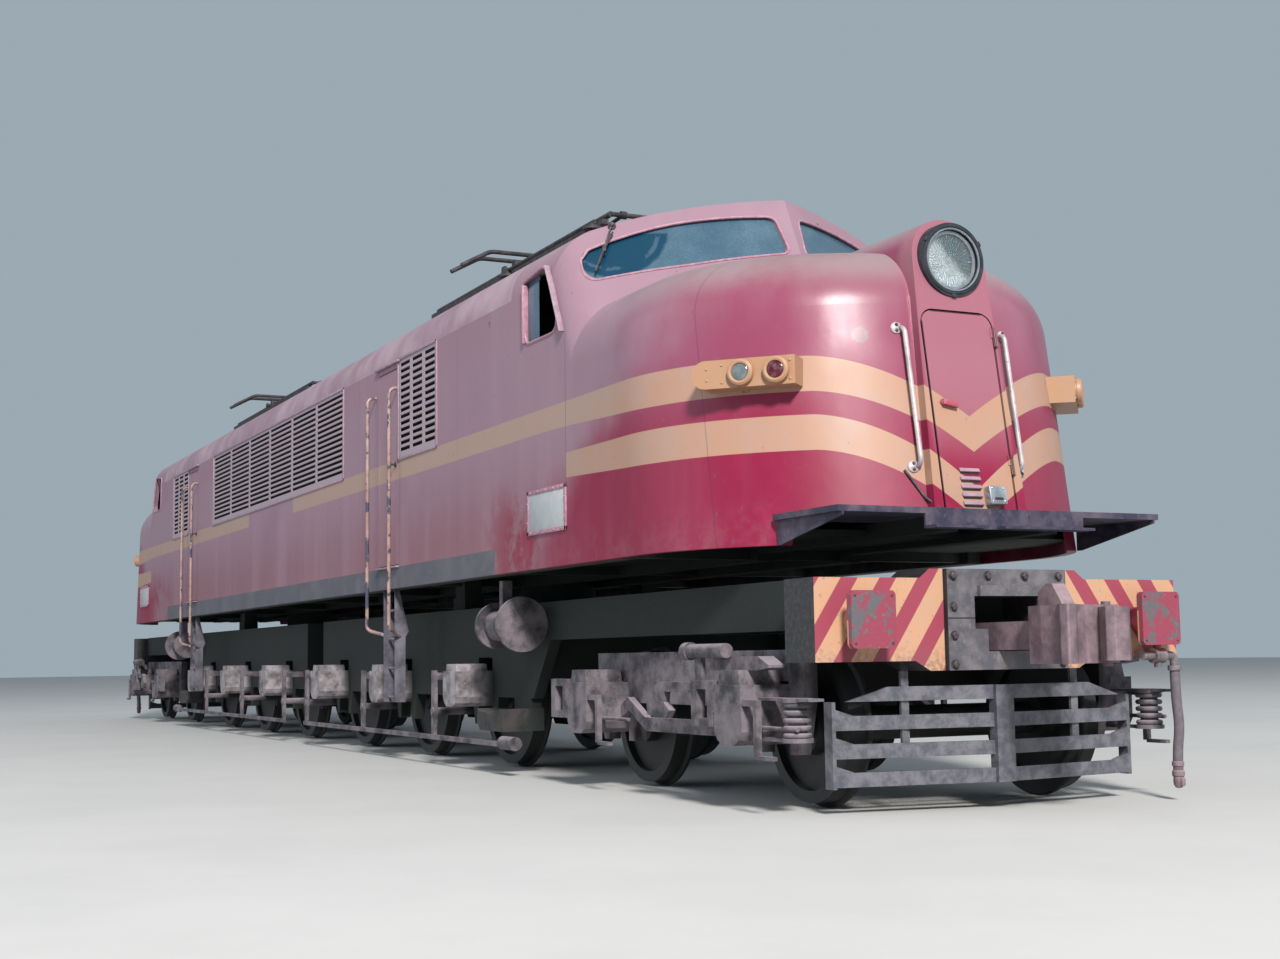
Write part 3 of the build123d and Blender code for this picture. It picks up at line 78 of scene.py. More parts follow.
DOOR_SLOTS = (-0.057, 1.943)
SLOT_PITCH = 0.050
DOOR_BOX = (0.091, 1.785)
NOSE_RAIL_Y = 0.392
NOSE_RAIL_ENDS = (1.962, 2.816)
NOSE_ROD = ((-0.450, 1.941), (-0.410, 1.875), (-0.350, 1.779), (-0.300, 1.702))
BEAM_FRONT_X = 10.765
BEAM_PLATE_X = 10.795
BEAM_PLATE_HALF = 0.427
BEAM_JOINT_Z = 1.064 + LIFT
BEAM_BOLT_Y = 0.384
BEAM_BOLT_ROWS = (1.305, 1.129, 0.966, 0.803)
PILOT_TOP = 0.768 + LIFT
PIPE_TOP = 0.8595 + LIFT
PAD_FRONT_X = 10.940
PAD_CENTRE = (1.020, 1.056)
SIDE_PLATES = ((7.608, 1.915), (-8.460, 1.915))      # middle of each blank plate (x, z)
PLATE_FRAME = (0.336, 0.147)     # from that middle to the middle of the frame's bars
BODY_DOORS = ((3.660, 4.200), (-5.060, -4.520))
DOOR_NAMES = {"front": ("right_front_door", "right_rear_door"),
              "rear": ("left_rear_door", "left_front_door")}
LOUVRES = ((-3.504, 2.470), (4.240, 5.240), (-6.190, -5.160))
LOUVRE_Z = (2.665, 3.545)
HOSE = ((10.850, 1.190, 0.773), (10.850, 1.190, 0.608), (10.863, 1.198, 0.438), (10.852, 1.180, 0.288),
        (10.852, 1.180, 0.158))
HOSE_DIAMETER = 0.060
ENDS = (("front", Matrix.Identity(4)), ("rear", Matrix.Rotation(pi, 4, "Z")))


# Camera, lights and floor
def camera():
    yaw, pitch, roll = 0.4561, 0.1045, -0.0143
    focal, width = 1691.78, 1280             # in picture points
    ahead = Vector((-cos(yaw) * cos(pitch), sin(yaw) * cos(pitch), sin(pitch)))
    level = ahead.cross(Vector((0, 0, 1))).normalized()
    above = level.cross(ahead)
    right = cos(roll) * level + sin(roll) * above
    up = -sin(roll) * level + cos(roll) * above
    data = bpy.data.cameras.new("camera")
    data.sensor_width = 36
    data.lens = data.sensor_width * focal / width
    data.clip_end = 500
    view = bpy.data.objects.new("camera", data)
    bpy.context.scene.collection.objects.link(view)
    turn = Matrix((right, up, -ahead)).transposed().to_4x4()
    view.matrix_world = Matrix.Translation((18.6463, -6.2021, 0.8984)) @ turn
    bpy.context.scene.camera = view


def lamp(name, place, target, size, power, colour):
    data = bpy.data.lights.new(name, "AREA")
    data.shape = "DISK"
    data.size = size
    data.energy = power
    data.color = colour
    light = bpy.data.objects.new(name, data)
    bpy.context.scene.collection.objects.link(light)
    light.location = place
    light.rotation_euler = (Vector(target) - Vector(place)).to_track_quat("-Z", "Y").to_euler()


def lighting():
    lamp("key", (55, -16, 34), (4, 0, 2), 9, 57000, (1.0, 0.97, 0.93))
    lamp("side", (-6, -30, 12), (0, 0, 2), 32, 3300, (0.86, 0.92, 1.0))
    lamp("far", (17, 30, 15), (2, 0, 2), 24, 1500, (0.92, 0.95, 1.0))
    world = bpy.data.worlds.new("studio")
    world.use_nodes = True
    sky = world.node_tree.nodes["Background"]
    sky.inputs["Color"].default_value = (0.66, 0.80, 0.90, 1)
    sky.inputs["Strength"].default_value = 0.50
    bpy.context.scene.world = world
    bpy.context.scene.view_settings.view_transform = "Standard"
    bpy.context.scene.view_settings.look = "None"


# Materials
class Graph:
    """One material's node tree, with short ways to add and link nodes."""

    def __init__(self, name):
        self.material = bpy.data.materials.new(name)
        self.material.use_nodes = True
        self.tree = self.material.node_tree
        self.shader = self.tree.nodes["Principled BSDF"]
        self.place = self.tree.nodes.new("ShaderNodeTexCoord").outputs["Object"]
        split = self.node("ShaderNodeSeparateXYZ", self.place)
        self.x, self.y, self.z = split.outputs
        self.ahead = self.math("ABSOLUTE", self.x)
        self.beside = self.math("ABSOLUTE", self.y)

    def node(self, kind, *values, **settings):
        item = self.tree.nodes.new(kind)
        for key, value in settings.items():
            setattr(item, key, value)
        for socket, value in zip(item.inputs, values):
            self.put(socket, value)
        return item

    def put(self, socket, value):
        if isinstance(value, bpy.types.NodeSocket):
            self.tree.links.new(value, socket)
        elif value is not None:
            if hasattr(value, "__len__") and len(value) == 3 and len(socket.default_value) == 4:
                value = (*value, 1)
            socket.default_value = value

    def math(self, operation, a, b=0.0, c=0.0, clamp=False):
        return self.node("ShaderNodeMath", a, b, c, operation=operation, use_clamp=clamp).outputs[0]

    def noise(self, scale, detail=3.0, rough=0.55, stretch=None):
        place = self.place
        if stretch:
            place = self.node("ShaderNodeMapping", place, None, None, stretch).outputs[0]
        item = self.node("ShaderNodeTexNoise", place)
        item.inputs["Scale"].default_value = scale
        item.inputs["Detail"].default_value = detail
        item.inputs["Roughness"].default_value = rough
        return item.outputs["Fac"]

    def ramp(self, value, low, high):
        """0 below low, 1 above high and smooth between."""
        item = self.node("ShaderNodeMapRange", value, low, high, 0.0, 1.0,
                         interpolation_type="SMOOTHSTEP")
        return item.outputs[0]

    def edge(self, value, place, soft=0.002):
        """0 below the place and 1 above it, across a thin edge."""
        return self.ramp(value, place - soft, place + soft)

    def mix(self, factor, a, b):
        item = self.node("ShaderNodeMix", data_type="RGBA")
        self.put(item.inputs[0], factor)
        self.put(item.inputs[6], a)
        self.put(item.inputs[7], b)
        return item.outputs[2]

    def lay(self, colour, over, *factors):
        """One colour laid over another, as far as the factors multiplied say."""
        return self.mix(self.times(*factors), colour, over)

    def times(self, *values):
        total = values[0]
        for value in values[1:]:
            total = self.math("MULTIPLY", total, value)
        return total

    def either(self, *values):
        total = values[0]
        for value in values[1:]:
            total = self.math("MAXIMUM", total, value)
        return total

    def invert(self, value):
        return self.math("SUBTRACT", 1.0, value)

    def inside(self, value, low, high, soft=0.003):
        """1 where value lies between low and high."""
        return self.times(self.edge(value, low, soft), self.invert(self.edge(value, high, soft)))

    def line_at(self, value, place, half=0.0035):
        return self.inside(value, place - half, place + half, 0.002)

    def facing_up(self):
        normal = self.tree.nodes.new("ShaderNodeNewGeometry").outputs["Normal"]
        return self.node("ShaderNodeSeparateXYZ", normal).outputs[2]

    def bump(self, height, distance, strength):
        item = self.node("ShaderNodeBump")
        item.inputs["Strength"].default_value = strength
        item.inputs["Distance"].default_value = distance
        self.put(item.inputs["Height"], height)
        self.put(self.shader.inputs["Normal"], item.outputs[0])

    def done(self, colour, roughness, metallic=0.0):
        self.put(self.shader.inputs["Base Color"], colour)
        self.put(self.shader.inputs["Roughness"], roughness)
        self.put(self.shader.inputs["Metallic"], metallic)
        return self.material


RED = (0.205, 0.005, 0.036)
BRIGHT_RED = (0.27, 0.012, 0.050)
FADED = (0.225, 0.050, 0.098)
PLUM = (0.26, 0.155, 0.200)
LOW_PLUM = (0.22, 0.100, 0.125)
PALE_PLUM = (0.30, 0.200, 0.240)
DEEP_PLUM = (0.20, 0.115, 0.165)
CHALK = (0.31, 0.240, 0.265)
CREAM = (0.370, 0.210, 0.145)
CREAM_FADED = (0.33, 0.232, 0.200)
DUST = (0.27, 0.21, 0.20)
DARK = (0.03, 0.012, 0.02)
BLACK = (0.012, 0.012, 0.014)


def stripe(g, edges, drop, growth):
    """One stripe: level along the sides, wider round the noses and down to a point in the middle."""
    near = g.math("SUBTRACT", 1.0, g.math("DIVIDE", g.beside, 0.9), clamp=True)
    height = g.math("ADD", g.z, g.times(g.math("POWER", near, 1.6), drop))
    low = g.math("SUBTRACT", edges[0], g.times(g.ramp(g.ahead, 7.5, 9.4), growth))
    return g.times(g.edge(g.math("SUBTRACT", height, low), 0.0), g.invert(g.edge(height, edges[1])))


def stripes(g):
    """Both stripes: the upper with its bare stretch on each side, the lower from the cab seam on."""
    upper = stripe(g, UPPER_STRIPE, 0.374, 0.048)
    lower = stripe(g, LOWER_STRIPE, 0.455, 0.050)
    lower = g.times(lower, g.ramp(g.ahead, SEAM_X - 0.002, SEAM_X))
    seen = g.times(g.inside(g.times(g.x, -1.0), *BARE_STRIPE), g.ramp(g.times(g.y, -1.0), 1.4, 1.45))
    other = g.times(g.inside(g.x, *BARE_STRIPE), g.ramp(g.y, 1.4, 1.45))
    return g.either(g.times(upper, g.invert(g.either(seen, other))), lower)


def seams(g):
    """Joints between the body's sheets: on the nose, before the cab and along the side."""
    cab = g.times(g.line_at(g.ahead, SEAM_X), g.ramp(g.beside, 1.40, 1.45))
    found = g.times(cab, g.invert(g.ramp(g.z, 3.1, 3.2)))
    for x in SIDE_SEAMS_X:
        found = g.either(found, g.times(g.line_at(g.x, x, 0.0025), 0.7))
    rake = g.times(g.z, NOSE_RAKE)
    for value in (g.math("ADD", g.x, rake), g.math("SUBTRACT", rake, g.x)):
        joint = g.times(g.line_at(value, NOSE_SEAM_X, 0.004), g.ramp(g.ahead, 8.5, 9.0))
        found = g.either(found, g.times(joint, g.ramp(g.beside, 0.5, 0.6), 0.55))
    return found


def door_edge(g):
    """The dark joint round the nose door."""
    upright = g.line_at(g.beside, NOSE_DOOR_HALF, 0.006)
    upright = g.times(upright, g.invert(g.ramp(g.z, NOSE_DOOR_TOP - 0.08, NOSE_DOOR_TOP - 0.06)))
    head = g.line_at(g.z, NOSE_DOOR_TOP, 0.007)
    head = g.times(head, g.invert(g.ramp(g.beside, NOSE_DOOR_HALF - 0.08, NOSE_DOOR_HALF - 0.06)))
    return g.times(g.either(upright, head), g.ramp(g.ahead, 10.15, 10.20))


def scuff(g):
    """A round mark on the upper nose, darker at its edge."""
    spot = g.node("ShaderNodeVectorMath", g.place, SCUFF, operation="DISTANCE").outputs["Value"]
    ragged = g.math("ADD", spot, g.times(g.noise(34.0, 3.0, 0.7), 0.03))
    ring = g.inside(ragged, 0.042, 0.066, 0.006)
    return g.either(ring, g.times(g.invert(g.ramp(ragged, 0.05, 0.06)), 0.6))


def red_share(g, cloud, patch):
    """Where the paint is still red: on the noses, and in patches low behind them."""
    edge = g.math("SUBTRACT", g.ahead, g.times(g.ramp(g.z, 1.7, 2.9), 1.38))
    edge = g.math("ADD", edge, g.times(g.math("SUBTRACT", cloud, 0.5), 1.5))
    low = g.times(g.invert(g.ramp(g.z, 1.8, 2.35)), g.ramp(g.ahead, 6.0, 7.2))
    low = g.times(low, g.ramp(patch, 0.42, 0.56))
    return g.either(g.ramp(edge, 7.25, 8.05), g.times(low, 0.9))


def coats(g, fresh, cloud, patch, streak):
    """Red fading upwards on the noses, and plum along the sides."""
    red = g.lay(RED, FADED, g.ramp(g.z, 2.15, 2.75), 0.9)
    red = g.lay(red, FADED, g.ramp(streak, 0.45, 0.7), 0.35)
    red = g.lay(red, BRIGHT_RED, g.ramp(patch, 0.55, 0.75), g.invert(g.ramp(g.z, 1.9, 2.3)), 0.8)
    plum = g.lay(LOW_PLUM, PLUM, g.ramp(g.z, 1.8, 2.6))
    plum = g.lay(plum, PALE_PLUM, g.ramp(streak, 0.40, 0.75), 0.5)
    plum = g.lay(plum, DEEP_PLUM, g.ramp(cloud, 0.5, 0.75), 0.4)
    return g.mix(fresh, plum, red)


def nose_bloom(g, colour, band, patch, streak):
    """Chalky and dusty paint on what faces up, on the hood and on the middle panel."""
    up = g.facing_up()
    cloud = g.ramp(g.noise(1.6, 5.0, 0.65), 0.28, 0.60)
    colour = g.lay(colour, CHALK, g.ramp(up, 0.30, 0.90), cloud, 0.85)
    hood = g.times(g.ramp(g.ahead, 8.2, 9.0), g.ramp(g.beside, 0.27, 0.33))
    hood = g.times(hood, g.ramp(g.z, 2.75, 3.15), g.invert(g.ramp(g.z, 3.55, 3.62)))
    colour = g.lay(colour, (0.235, 0.145, 0.165), hood, g.ramp(streak, 0.30, 0.62), 0.30)
    crest = g.times(g.ramp(g.ahead, 8.3, 8.8), g.ramp(up, 0.35, 0.85))
    colour = g.lay(colour, (0.235, 0.170, 0.175), crest, g.ramp(patch, 0.30, 0.55), 0.65)
    middle = g.times(g.ramp(g.ahead, 10.15, 10.25), g.invert(g.ramp(g.beside, 0.26, 0.32)))
    return g.lay(colour, (0.300, 0.130, 0.162), middle, g.invert(band), g.ramp(g.z, 1.9, 2.4), 0.7)


def body_paint(name, slotted=False):
    """The body's paint; a slotted panel is paler, with painted shade (black) inside its slots."""
    g = Graph(name)
    cloud = g.noise(0.8, 4.0, 0.6)
    patch = g.noise(2.4, 5.0, 0.65)
    streak = g.noise(2.2, 4.0, 0.6, (1.0, 1.0, 0.10))
    fine = g.noise(26.0, 4.0, 0.65)
    fresh = red_share(g, cloud, patch)
    colour = coats(g, fresh, cloud, patch, streak)
    band = stripes(g)
    cream = g.lay(CREAM, CREAM_FADED, g.ramp(g.noise(5.0, 3.0, 0.6), 0.4, 0.75), 0.5)
    cream = g.lay(cream, CREAM_FADED, g.invert(fresh), 0.75)
    colour = g.lay(colour, cream, band, g.invert(g.times(g.ramp(fine, 0.66, 0.74), 0.4)))
    colour = nose_bloom(g, colour, band, patch, streak)
    grime = g.invert(g.ramp(g.z, BODY_BOTTOM, BODY_BOTTOM + 0.35))
    colour = g.lay(colour, DUST, grime, g.ramp(g.noise(6.0, 4.0, 0.7), 0.4, 0.7), 0.14)
    colour = g.lay(colour, DUST, g.ramp(fine, 0.60, 0.80), 0.12)
    colour = g.lay(colour, DARK, seams(g), 0.55)
    colour = g.lay(colour, (0.020, 0.006, 0.010), door_edge(g), 0.9)
    colour = g.lay(colour, (0.10, 0.06, 0.07), g.ramp(g.noise(13.0, 2.0, 0.5), 0.74, 0.76), 0.6)
    colour = g.lay(colour, (0.17, 0.13, 0.13), scuff(g), 0.8)
    if slotted:
        colour = g.mix(0.6, colour, (0.36, 0.315, 0.345))
        # Painted shade: black on whatever lies deeper than the outer face, inside the slots.
        inside = g.invert(g.ramp(g.beside, BODY_HALF - 0.0065, BODY_HALF - 0.0015))
        colour = g.mix(inside, colour, (0.006, 0.006, 0.007))
    rough = g.math("ADD", 0.245, g.times(g.ramp(streak, 0.3, 0.8), 0.12))
    rough = g.math("ADD", rough, g.times(g.invert(g.ramp(g.z, 2.55, 2.85)), 0.15))
    rough = g.math("ADD", rough, g.times(g.invert(g.ramp(g.ahead, 8.2, 9.2)), 0.16))
    rough = g.math("ADD", rough, g.times(g.ramp(g.z, 3.15, 3.45), 0.36))
    g.bump(g.math("ADD", g.noise(2.2, 2.0, 0.5), g.times(fine, 0.05)), 0.008, 0.55)
    g.shader.inputs["Specular IOR Level"].default_value = 0.33
    return g.done(colour, rough)


def roof_paint():
    g = Graph("roof_paint")
    cloud = g.noise(1.2, 5.0, 0.65)
    streak = g.noise(3.0, 4.0, 0.6, (1.0, 0.15, 0.15))
    colour = g.lay(PLUM, (0.38, 0.27, 0.31), g.ramp(cloud, 0.35, 0.7))
    colour = g.lay(colour, (0.17, 0.12, 0.14), g.ramp(streak, 0.45, 0.75), 0.5)
    g.bump(cloud, 0.004, 0.4)
    return g.done(colour, 0.55)


def blend(a, b, share):
    return tuple((1 - share) * p + share * q for p, q in zip(a, b))


def brighter(colour, by):
    return tuple(by * part for part in colour)


def dirty(name, base, dust, roughness=0.7, metallic=0.0, scale=9.0, top=0.7, bump=0.5):
    """Paint or cast metal with blotches, and dust on what faces up."""
    g = Graph(name)
    cloud = g.noise(scale, 5.0, 0.65)
    fine = g.noise(scale * 7, 4.0, 0.7)
    colour = g.lay(base, blend(base, dust, 0.45), g.ramp(cloud, 0.38, 0.68))
    colour = g.lay(colour, dust, g.ramp(g.facing_up(), -0.1, 0.9), g.ramp(cloud, 0.2, 0.7), top)
    colour = g.lay(colour, dust, g.ramp(fine, 0.58, 0.72), 0.5)
    g.bump(g.math("ADD", cloud, g.times(fine, 0.5)), 0.003, bump)
    return g.done(colour, g.math("ADD", roughness - 0.1, g.times(fine, 0.25)), metallic)


def deep_gear(name, base, dust, roughness=0.8, inner=1.125):
    """Greasy gear: dusty outside the inner distance from the middle line, and black inside it, where the
    black is painted shade cast by the body above; the near-black base is partly greasy dirt and partly
    painted shade under the body.
    """
    g = Graph(name)
    cloud = g.noise(6.0, 5.0, 0.65)
    fine = g.noise(45.0, 4.0, 0.7)
    # Outside the inner distance the gear is out of the painted shade; inside it the gear stays black as
    # painted shade.
    outer = g.ramp(g.beside, inner, inner + 0.075)
    colour = g.lay(base, dust, outer, g.ramp(cloud, 0.30, 0.65), 0.75)
    colour = g.lay(colour, brighter(dust, 1.5), g.ramp(g.facing_up(), 0.2, 0.9), outer, 0.6)
    colour = g.lay(colour, brighter(dust, 1.4), g.ramp(fine, 0.60, 0.74), outer, 0.5)
    g.bump(g.math("ADD", cloud, g.times(fine, 0.7)), 0.003, 0.6)
    return g.done(colour, g.math("ADD", roughness - 0.1, g.times(fine, 0.2)))


def diagonals(g, cloud, fine):
    """Cream with red diagonals that lean towards the middle, chipped and grimy along the lower edge."""
    lean, pitch, phase = 0.68, 0.255, 1.185
    slant = g.math("ADD", g.beside, g.times(g.z, lean))
    slant = g.math("ADD", slant, phase - lean * LIFT)
    red = g.inside(g.math("FRACT", g.math("DIVIDE", slant, pitch)), 0.02, 0.46, 0.012)
    cream = g.lay((0.480, 0.262, 0.158), (0.420, 0.270, 0.195), g.ramp(cloud, 0.4, 0.7), 0.6)
    colour = g.mix(red, cream, (0.265, 0.040, 0.068))
    colour = g.lay(colour, (0.10, 0.09, 0.10), g.ramp(fine, 0.62, 0.68), 0.6)
    low = g.invert(g.ramp(g.z, 0.80, 0.98))
    return g.lay(colour, (0.12, 0.08, 0.07), low, g.ramp(fine, 0.4, 0.6), 0.6)


def beam_paint():
    """Striped beam with dark sides, grey middle plate, chipped red pads, grey pilot bars and pipe."""
    g = Graph("beam_paint")
    fine = g.noise(34.0, 4.0, 0.7)
    cloud = g.noise(7.0, 4.0, 0.65)
    colour = diagonals(g, cloud, fine)
    steel = g.lay((0.072, 0.070, 0.084), (0.145, 0.130, 0.140), g.ramp(cloud, 0.38, 0.66))
    steel = g.lay(steel, (0.25, 0.21, 0.20), g.ramp(fine, 0.58, 0.70), 0.5)
    middle = g.invert(g.ramp(g.beside, BEAM_PLATE_HALF - 0.003, BEAM_PLATE_HALF))
    colour = g.mix(middle, colour, steel)
    colour = g.lay(colour, BLACK, g.line_at(g.beside, BEAM_PLATE_HALF, 0.004))
    colour = g.lay(colour, BLACK, middle, g.line_at(g.z, BEAM_JOINT_Z, 0.004))
    chips = g.ramp(g.math("ADD", cloud, g.times(fine, 0.4)), 0.74, 0.78)
    red_pad = g.lay((0.235, 0.036, 0.066), (0.085, 0.092, 0.102), chips, 0.95)
    red_pad = g.lay(red_pad, (0.30, 0.15, 0.15), g.ramp(fine, 0.60, 0.66), 0.4)
    colour = g.lay(colour, red_pad, g.ramp(g.ahead, PAD_FRONT_X - 0.035, PAD_FRONT_X - 0.030))
    dark = g.lay((0.012, 0.014, 0.018), (0.045, 0.038, 0.04), g.ramp(fine, 0.4, 0.7))
    bars = g.invert(g.edge(g.z, PILOT_TOP, 0.001))
    front = g.ramp(g.ahead, BEAM_FRONT_X - 0.004, BEAM_FRONT_X - 0.001)
    colour = g.lay(dark, colour, front, g.invert(bars))
    blotch = g.ramp(g.noise(12.0, 5.0, 0.7), 0.35, 0.65)
    grey = g.lay((0.060, 0.064, 0.080), (0.135, 0.130, 0.150), blotch)
    grey = g.lay(grey, (0.10, 0.07, 0.07), g.ramp(fine, 0.60, 0.72), 0.5)
    colour = g.mix(bars, colour, grey)
    pipe = g.times(g.ramp(g.ahead, BEAM_FRONT_X + 0.003, BEAM_FRONT_X + 0.006),
                   g.invert(g.edge(g.z, PIPE_TOP, 0.0025)), g.ramp(g.beside, 0.50, 0.52))
    worn = g.lay((0.075, 0.062, 0.068), (0.20, 0.165, 0.175), g.ramp(cloud, 0.35, 0.65))
    colour = g.mix(pipe, colour, worn)
    g.bump(g.math("ADD", g.times(fine, 0.6), cloud), 0.002, 0.5)
    return g.done(colour, g.math("ADD", 0.45, g.times(fine, 0.25)))


def screen_glass():
    """Dusty bluish panes, wiped clear in an arc below the outer end of each screen."""
    g = Graph("screen_glass")
    spot = g.node("ShaderNodeCombineXYZ", g.ahead, g.beside, g.z).outputs[0]
    reach = g.node("ShaderNodeVectorMath", spot, WIPED_CENTRE, operation="DISTANCE").outputs["Value"]
    ragged = g.math("ADD", reach, g.times(g.noise(7.0, 3.0, 0.6), 0.05))
    wiped = g.times(g.invert(g.ramp(ragged, WIPED_REACH, WIPED_REACH + 0.035)),
                    g.invert(g.ramp(g.z, WIPED_CENTRE[2] - 0.030, WIPED_CENTRE[2] - 0.005)))
    arcs = g.times(g.inside(ragged, 0.33, 0.36, 0.01), g.ramp(g.noise(6.0), 0.45, 0.55))
    dust = g.math("ADD", 0.55, g.times(g.ramp(g.noise(3.0, 4.0, 0.6), 0.3, 0.75), 0.45))
    dust = g.either(g.times(dust, g.invert(g.times(wiped, 0.93))), g.times(arcs, 0.5))
    grain = g.ramp(g.noise(60.0, 3.0, 0.7), 0.4, 0.7)
    dust = g.times(dust, g.math("ADD", 0.75, g.times(grain, 0.25)))
    g.shader.inputs["Specular IOR Level"].default_value = 0.5
    g.bump(g.noise(30.0, 4.0, 0.7), 0.0004, 0.12)
    colour = g.mix(dust, (0.002, 0.035, 0.07), (0.090, 0.150, 0.200))
    return g.done(colour, g.math("ADD", 0.05, g.times(dust, 0.06)))


def clear_glass(name, tint, clear=0.95, rough=0.05):
    g = Graph(name)
    g.shader.inputs["Transmission Weight"].default_value = clear
    g.shader.inputs["IOR"].default_value = 1.45
    dust = g.ramp(g.noise(24.0, 4.0, 0.7), 0.45, 0.8)
    colour = g.lay(tint, (0.60, 0.60, 0.60), dust, 0.3)
    return g.done(colour, g.math("ADD", rough, g.times(dust, 0.15)))


def rail_paint():
    """Pale rails on the noses; brown and chipped black along the sides."""
    g = Graph("rail_paint")
    cloud = g.noise(9.0, 4.0, 0.65)
    fine = g.noise(40.0, 4.0, 0.7)
    along = g.times(g.ramp(g.beside, 1.50, 1.53), g.invert(g.ramp(g.ahead, 6.5, 6.6)))
    pale = g.lay((0.30, 0.26, 0.28), (0.46, 0.40, 0.40), g.ramp(cloud, 0.35, 0.65))
    pale = g.lay(pale, (0.10, 0.09, 0.12), g.ramp(fine, 0.58, 0.66), 0.7)
    brown = g.lay((0.26, 0.155, 0.135), (0.36, 0.24, 0.22), g.ramp(cloud, 0.35, 0.65))
    brown = g.lay(brown, (0.045, 0.045, 0.075), g.ramp(g.noise(5.0, 4.0, 0.7), 0.52, 0.58))
    g.bump(fine, 0.001, 0.3)
    return g.done(g.mix(along, pale, brown), 0.45, 0.1)


def reflector():
    """Silvered bowl with fine rays, with a painted reflection: bright low on one side and dark bluish
    high on the other.
    """
    g = Graph("lamp_reflector")
    rise = g.math("SUBTRACT", g.z, LAMP_Z)
    rays = g.math("SINE", g.times(g.math("ARCTAN2", g.y, rise), 46.0))
    tarnish = g.ramp(g.noise(9.0, 4.0, 0.6), 0.35, 0.75)
    across = g.times(g.y, g.math("SIGN", g.x))
    colour = g.lay((0.80, 0.82, 0.83), (0.40, 0.47, 0.50), tarnish, 0.35)
    # Painted reflection: dark bluish over the upper side of the bowl, silver below.
    colour = g.lay(colour, (0.020, 0.090, 0.120), g.ramp(g.math("ADD", rise, across), -0.01, 0.08))
    colour = g.lay(colour, (0.30, 0.36, 0.38), g.ramp(rays, 0.5, 1.0), 0.35)
    g.bump(rays, 0.0015, 0.5)
    return g.done(colour, g.math("ADD", 0.22, g.times(tarnish, 0.2)), 0.6)


MATERIALS = {
    "body": body_paint("body_paint"),
    "louvre": body_paint("louvre_paint", True),
    "roof": roof_paint(),
    "skirt": dirty("skirt_paint", (0.072, 0.072, 0.092), (0.145, 0.130, 0.150), 0.6,
                   scale=3.0, top=0.3, bump=0.2),
    # The deep_gear materials are near-black partly as painted shade under the body, and black inside
    # their inner distance as painted shade.
    "gear": deep_gear("dark_gear", (0.006, 0.010, 0.009), (0.055, 0.045, 0.046)),
    "casting": deep_gear("dusty_casting", (0.026, 0.025, 0.029), (0.205, 0.172, 0.195), inner=1.04),
    "spring": deep_gear("spring_steel", (0.070, 0.064, 0.068), (0.40, 0.355, 0.375)),
    "ladder": deep_gear("ladder_paint", (0.045, 0.045, 0.056), (0.175, 0.160, 0.200)),
    "coupler": dirty("rusty_coupler", (0.115, 0.078, 0.095), (0.34, 0.25, 0.27), 0.62, 0.1,
                     scale=7.0, top=0.6),
    "wheel": deep_gear("wheel_steel", (0.010, 0.011, 0.011), (0.045, 0.036, 0.034), roughness=0.6),
    "beam": beam_paint(),
    "foot": dirty("foot_plate_paint", (0.016, 0.015, 0.040), (0.15, 0.12, 0.15), 0.7,
                  scale=5.0, top=0.8),
    "rail": rail_paint(),
    "pane": screen_glass(),
    "lens": clear_glass("lamp_glass", (0.93, 0.97, 0.98)),
    "lens_clear": clear_glass("marker_clear_glass", (0.15, 0.19, 0.21), 0.35, 0.03),
    "lens_red": clear_glass("marker_red_glass", (0.085, 0.006, 0.020), 0.2, 0.03),
    "reflector": reflector(),
    "silver": dirty("worn_silver", (0.36, 0.40, 0.44), (0.58, 0.60, 0.62), 0.32, 0.85,
                    scale=16.0, top=0.2, bump=0.1),
    "rim": dirty("lamp_rim_metal", (0.012, 0.016, 0.022), (0.050, 0.056, 0.070), 0.45, 0.2,
                 scale=14.0, top=0.3, bump=0.1),
    "marker": dirty("marker_paint", (0.365, 0.195, 0.108), (0.34, 0.22, 0.15), 0.45,
                    scale=6.0, top=0.3, bump=0.15),
    "cab": dirty("cab_paint", (0.020, 0.030, 0.026), (0.05, 0.055, 0.05), 0.7,
                 scale=3.0, top=0.3, bump=0.1),
    "panto": dirty("pantograph_metal", (0.022, 0.020, 0.024), (0.10, 0.085, 0.09), 0.6, 0.3,
                   scale=12.0, top=0.4),
    # Black for the painted shade in the openings of the nose door's slots and box.
    "slot_shade": dirty("painted_shade_black", (0.010, 0.010, 0.012), (0.04, 0.037, 0.038), 0.75,
                    scale=20.0, top=0.4, bump=0.1),
    "hose": dirty("dusty_hose", (0.095, 0.080, 0.098), (0.17, 0.14, 0.15), 0.8,
                  scale=26.0, top=0.3, bump=0.3),
    "bolt": dirty("bolt_steel", (0.030, 0.028, 0.034), (0.14, 0.115, 0.12), 0.6, 0.3,
                  scale=30.0, top=0.6),
    "frame_paint": dirty("plate_frame_paint", (0.30, 0.13, 0.19), (0.46, 0.31, 0.36), 0.5,
                         scale=22.0, top=0.4),
    "blank": dirty("blank_plate_paint", (0.34, 0.37, 0.38), (0.46, 0.44, 0.44), 0.5,
                   scale=11.0, top=0.3, bump=0.2),
    "fresh_red": dirty("fitting_red", (0.30, 0.04, 0.07), (0.36, 0.14, 0.18), 0.5,
                       scale=18.0, top=0.5, bump=0.2),
    "fitting": dirty("fitting_paint", (0.25, 0.16, 0.21), (0.38, 0.28, 0.32), 0.5,
                     scale=14.0, top=0.4, bump=0.2),
    "floor": dirty("pale_floor", (0.47, 0.465, 0.455), (0.52, 0.51, 0.50), 0.9,
                   scale=0.6, top=0.5, bump=0.02),
}
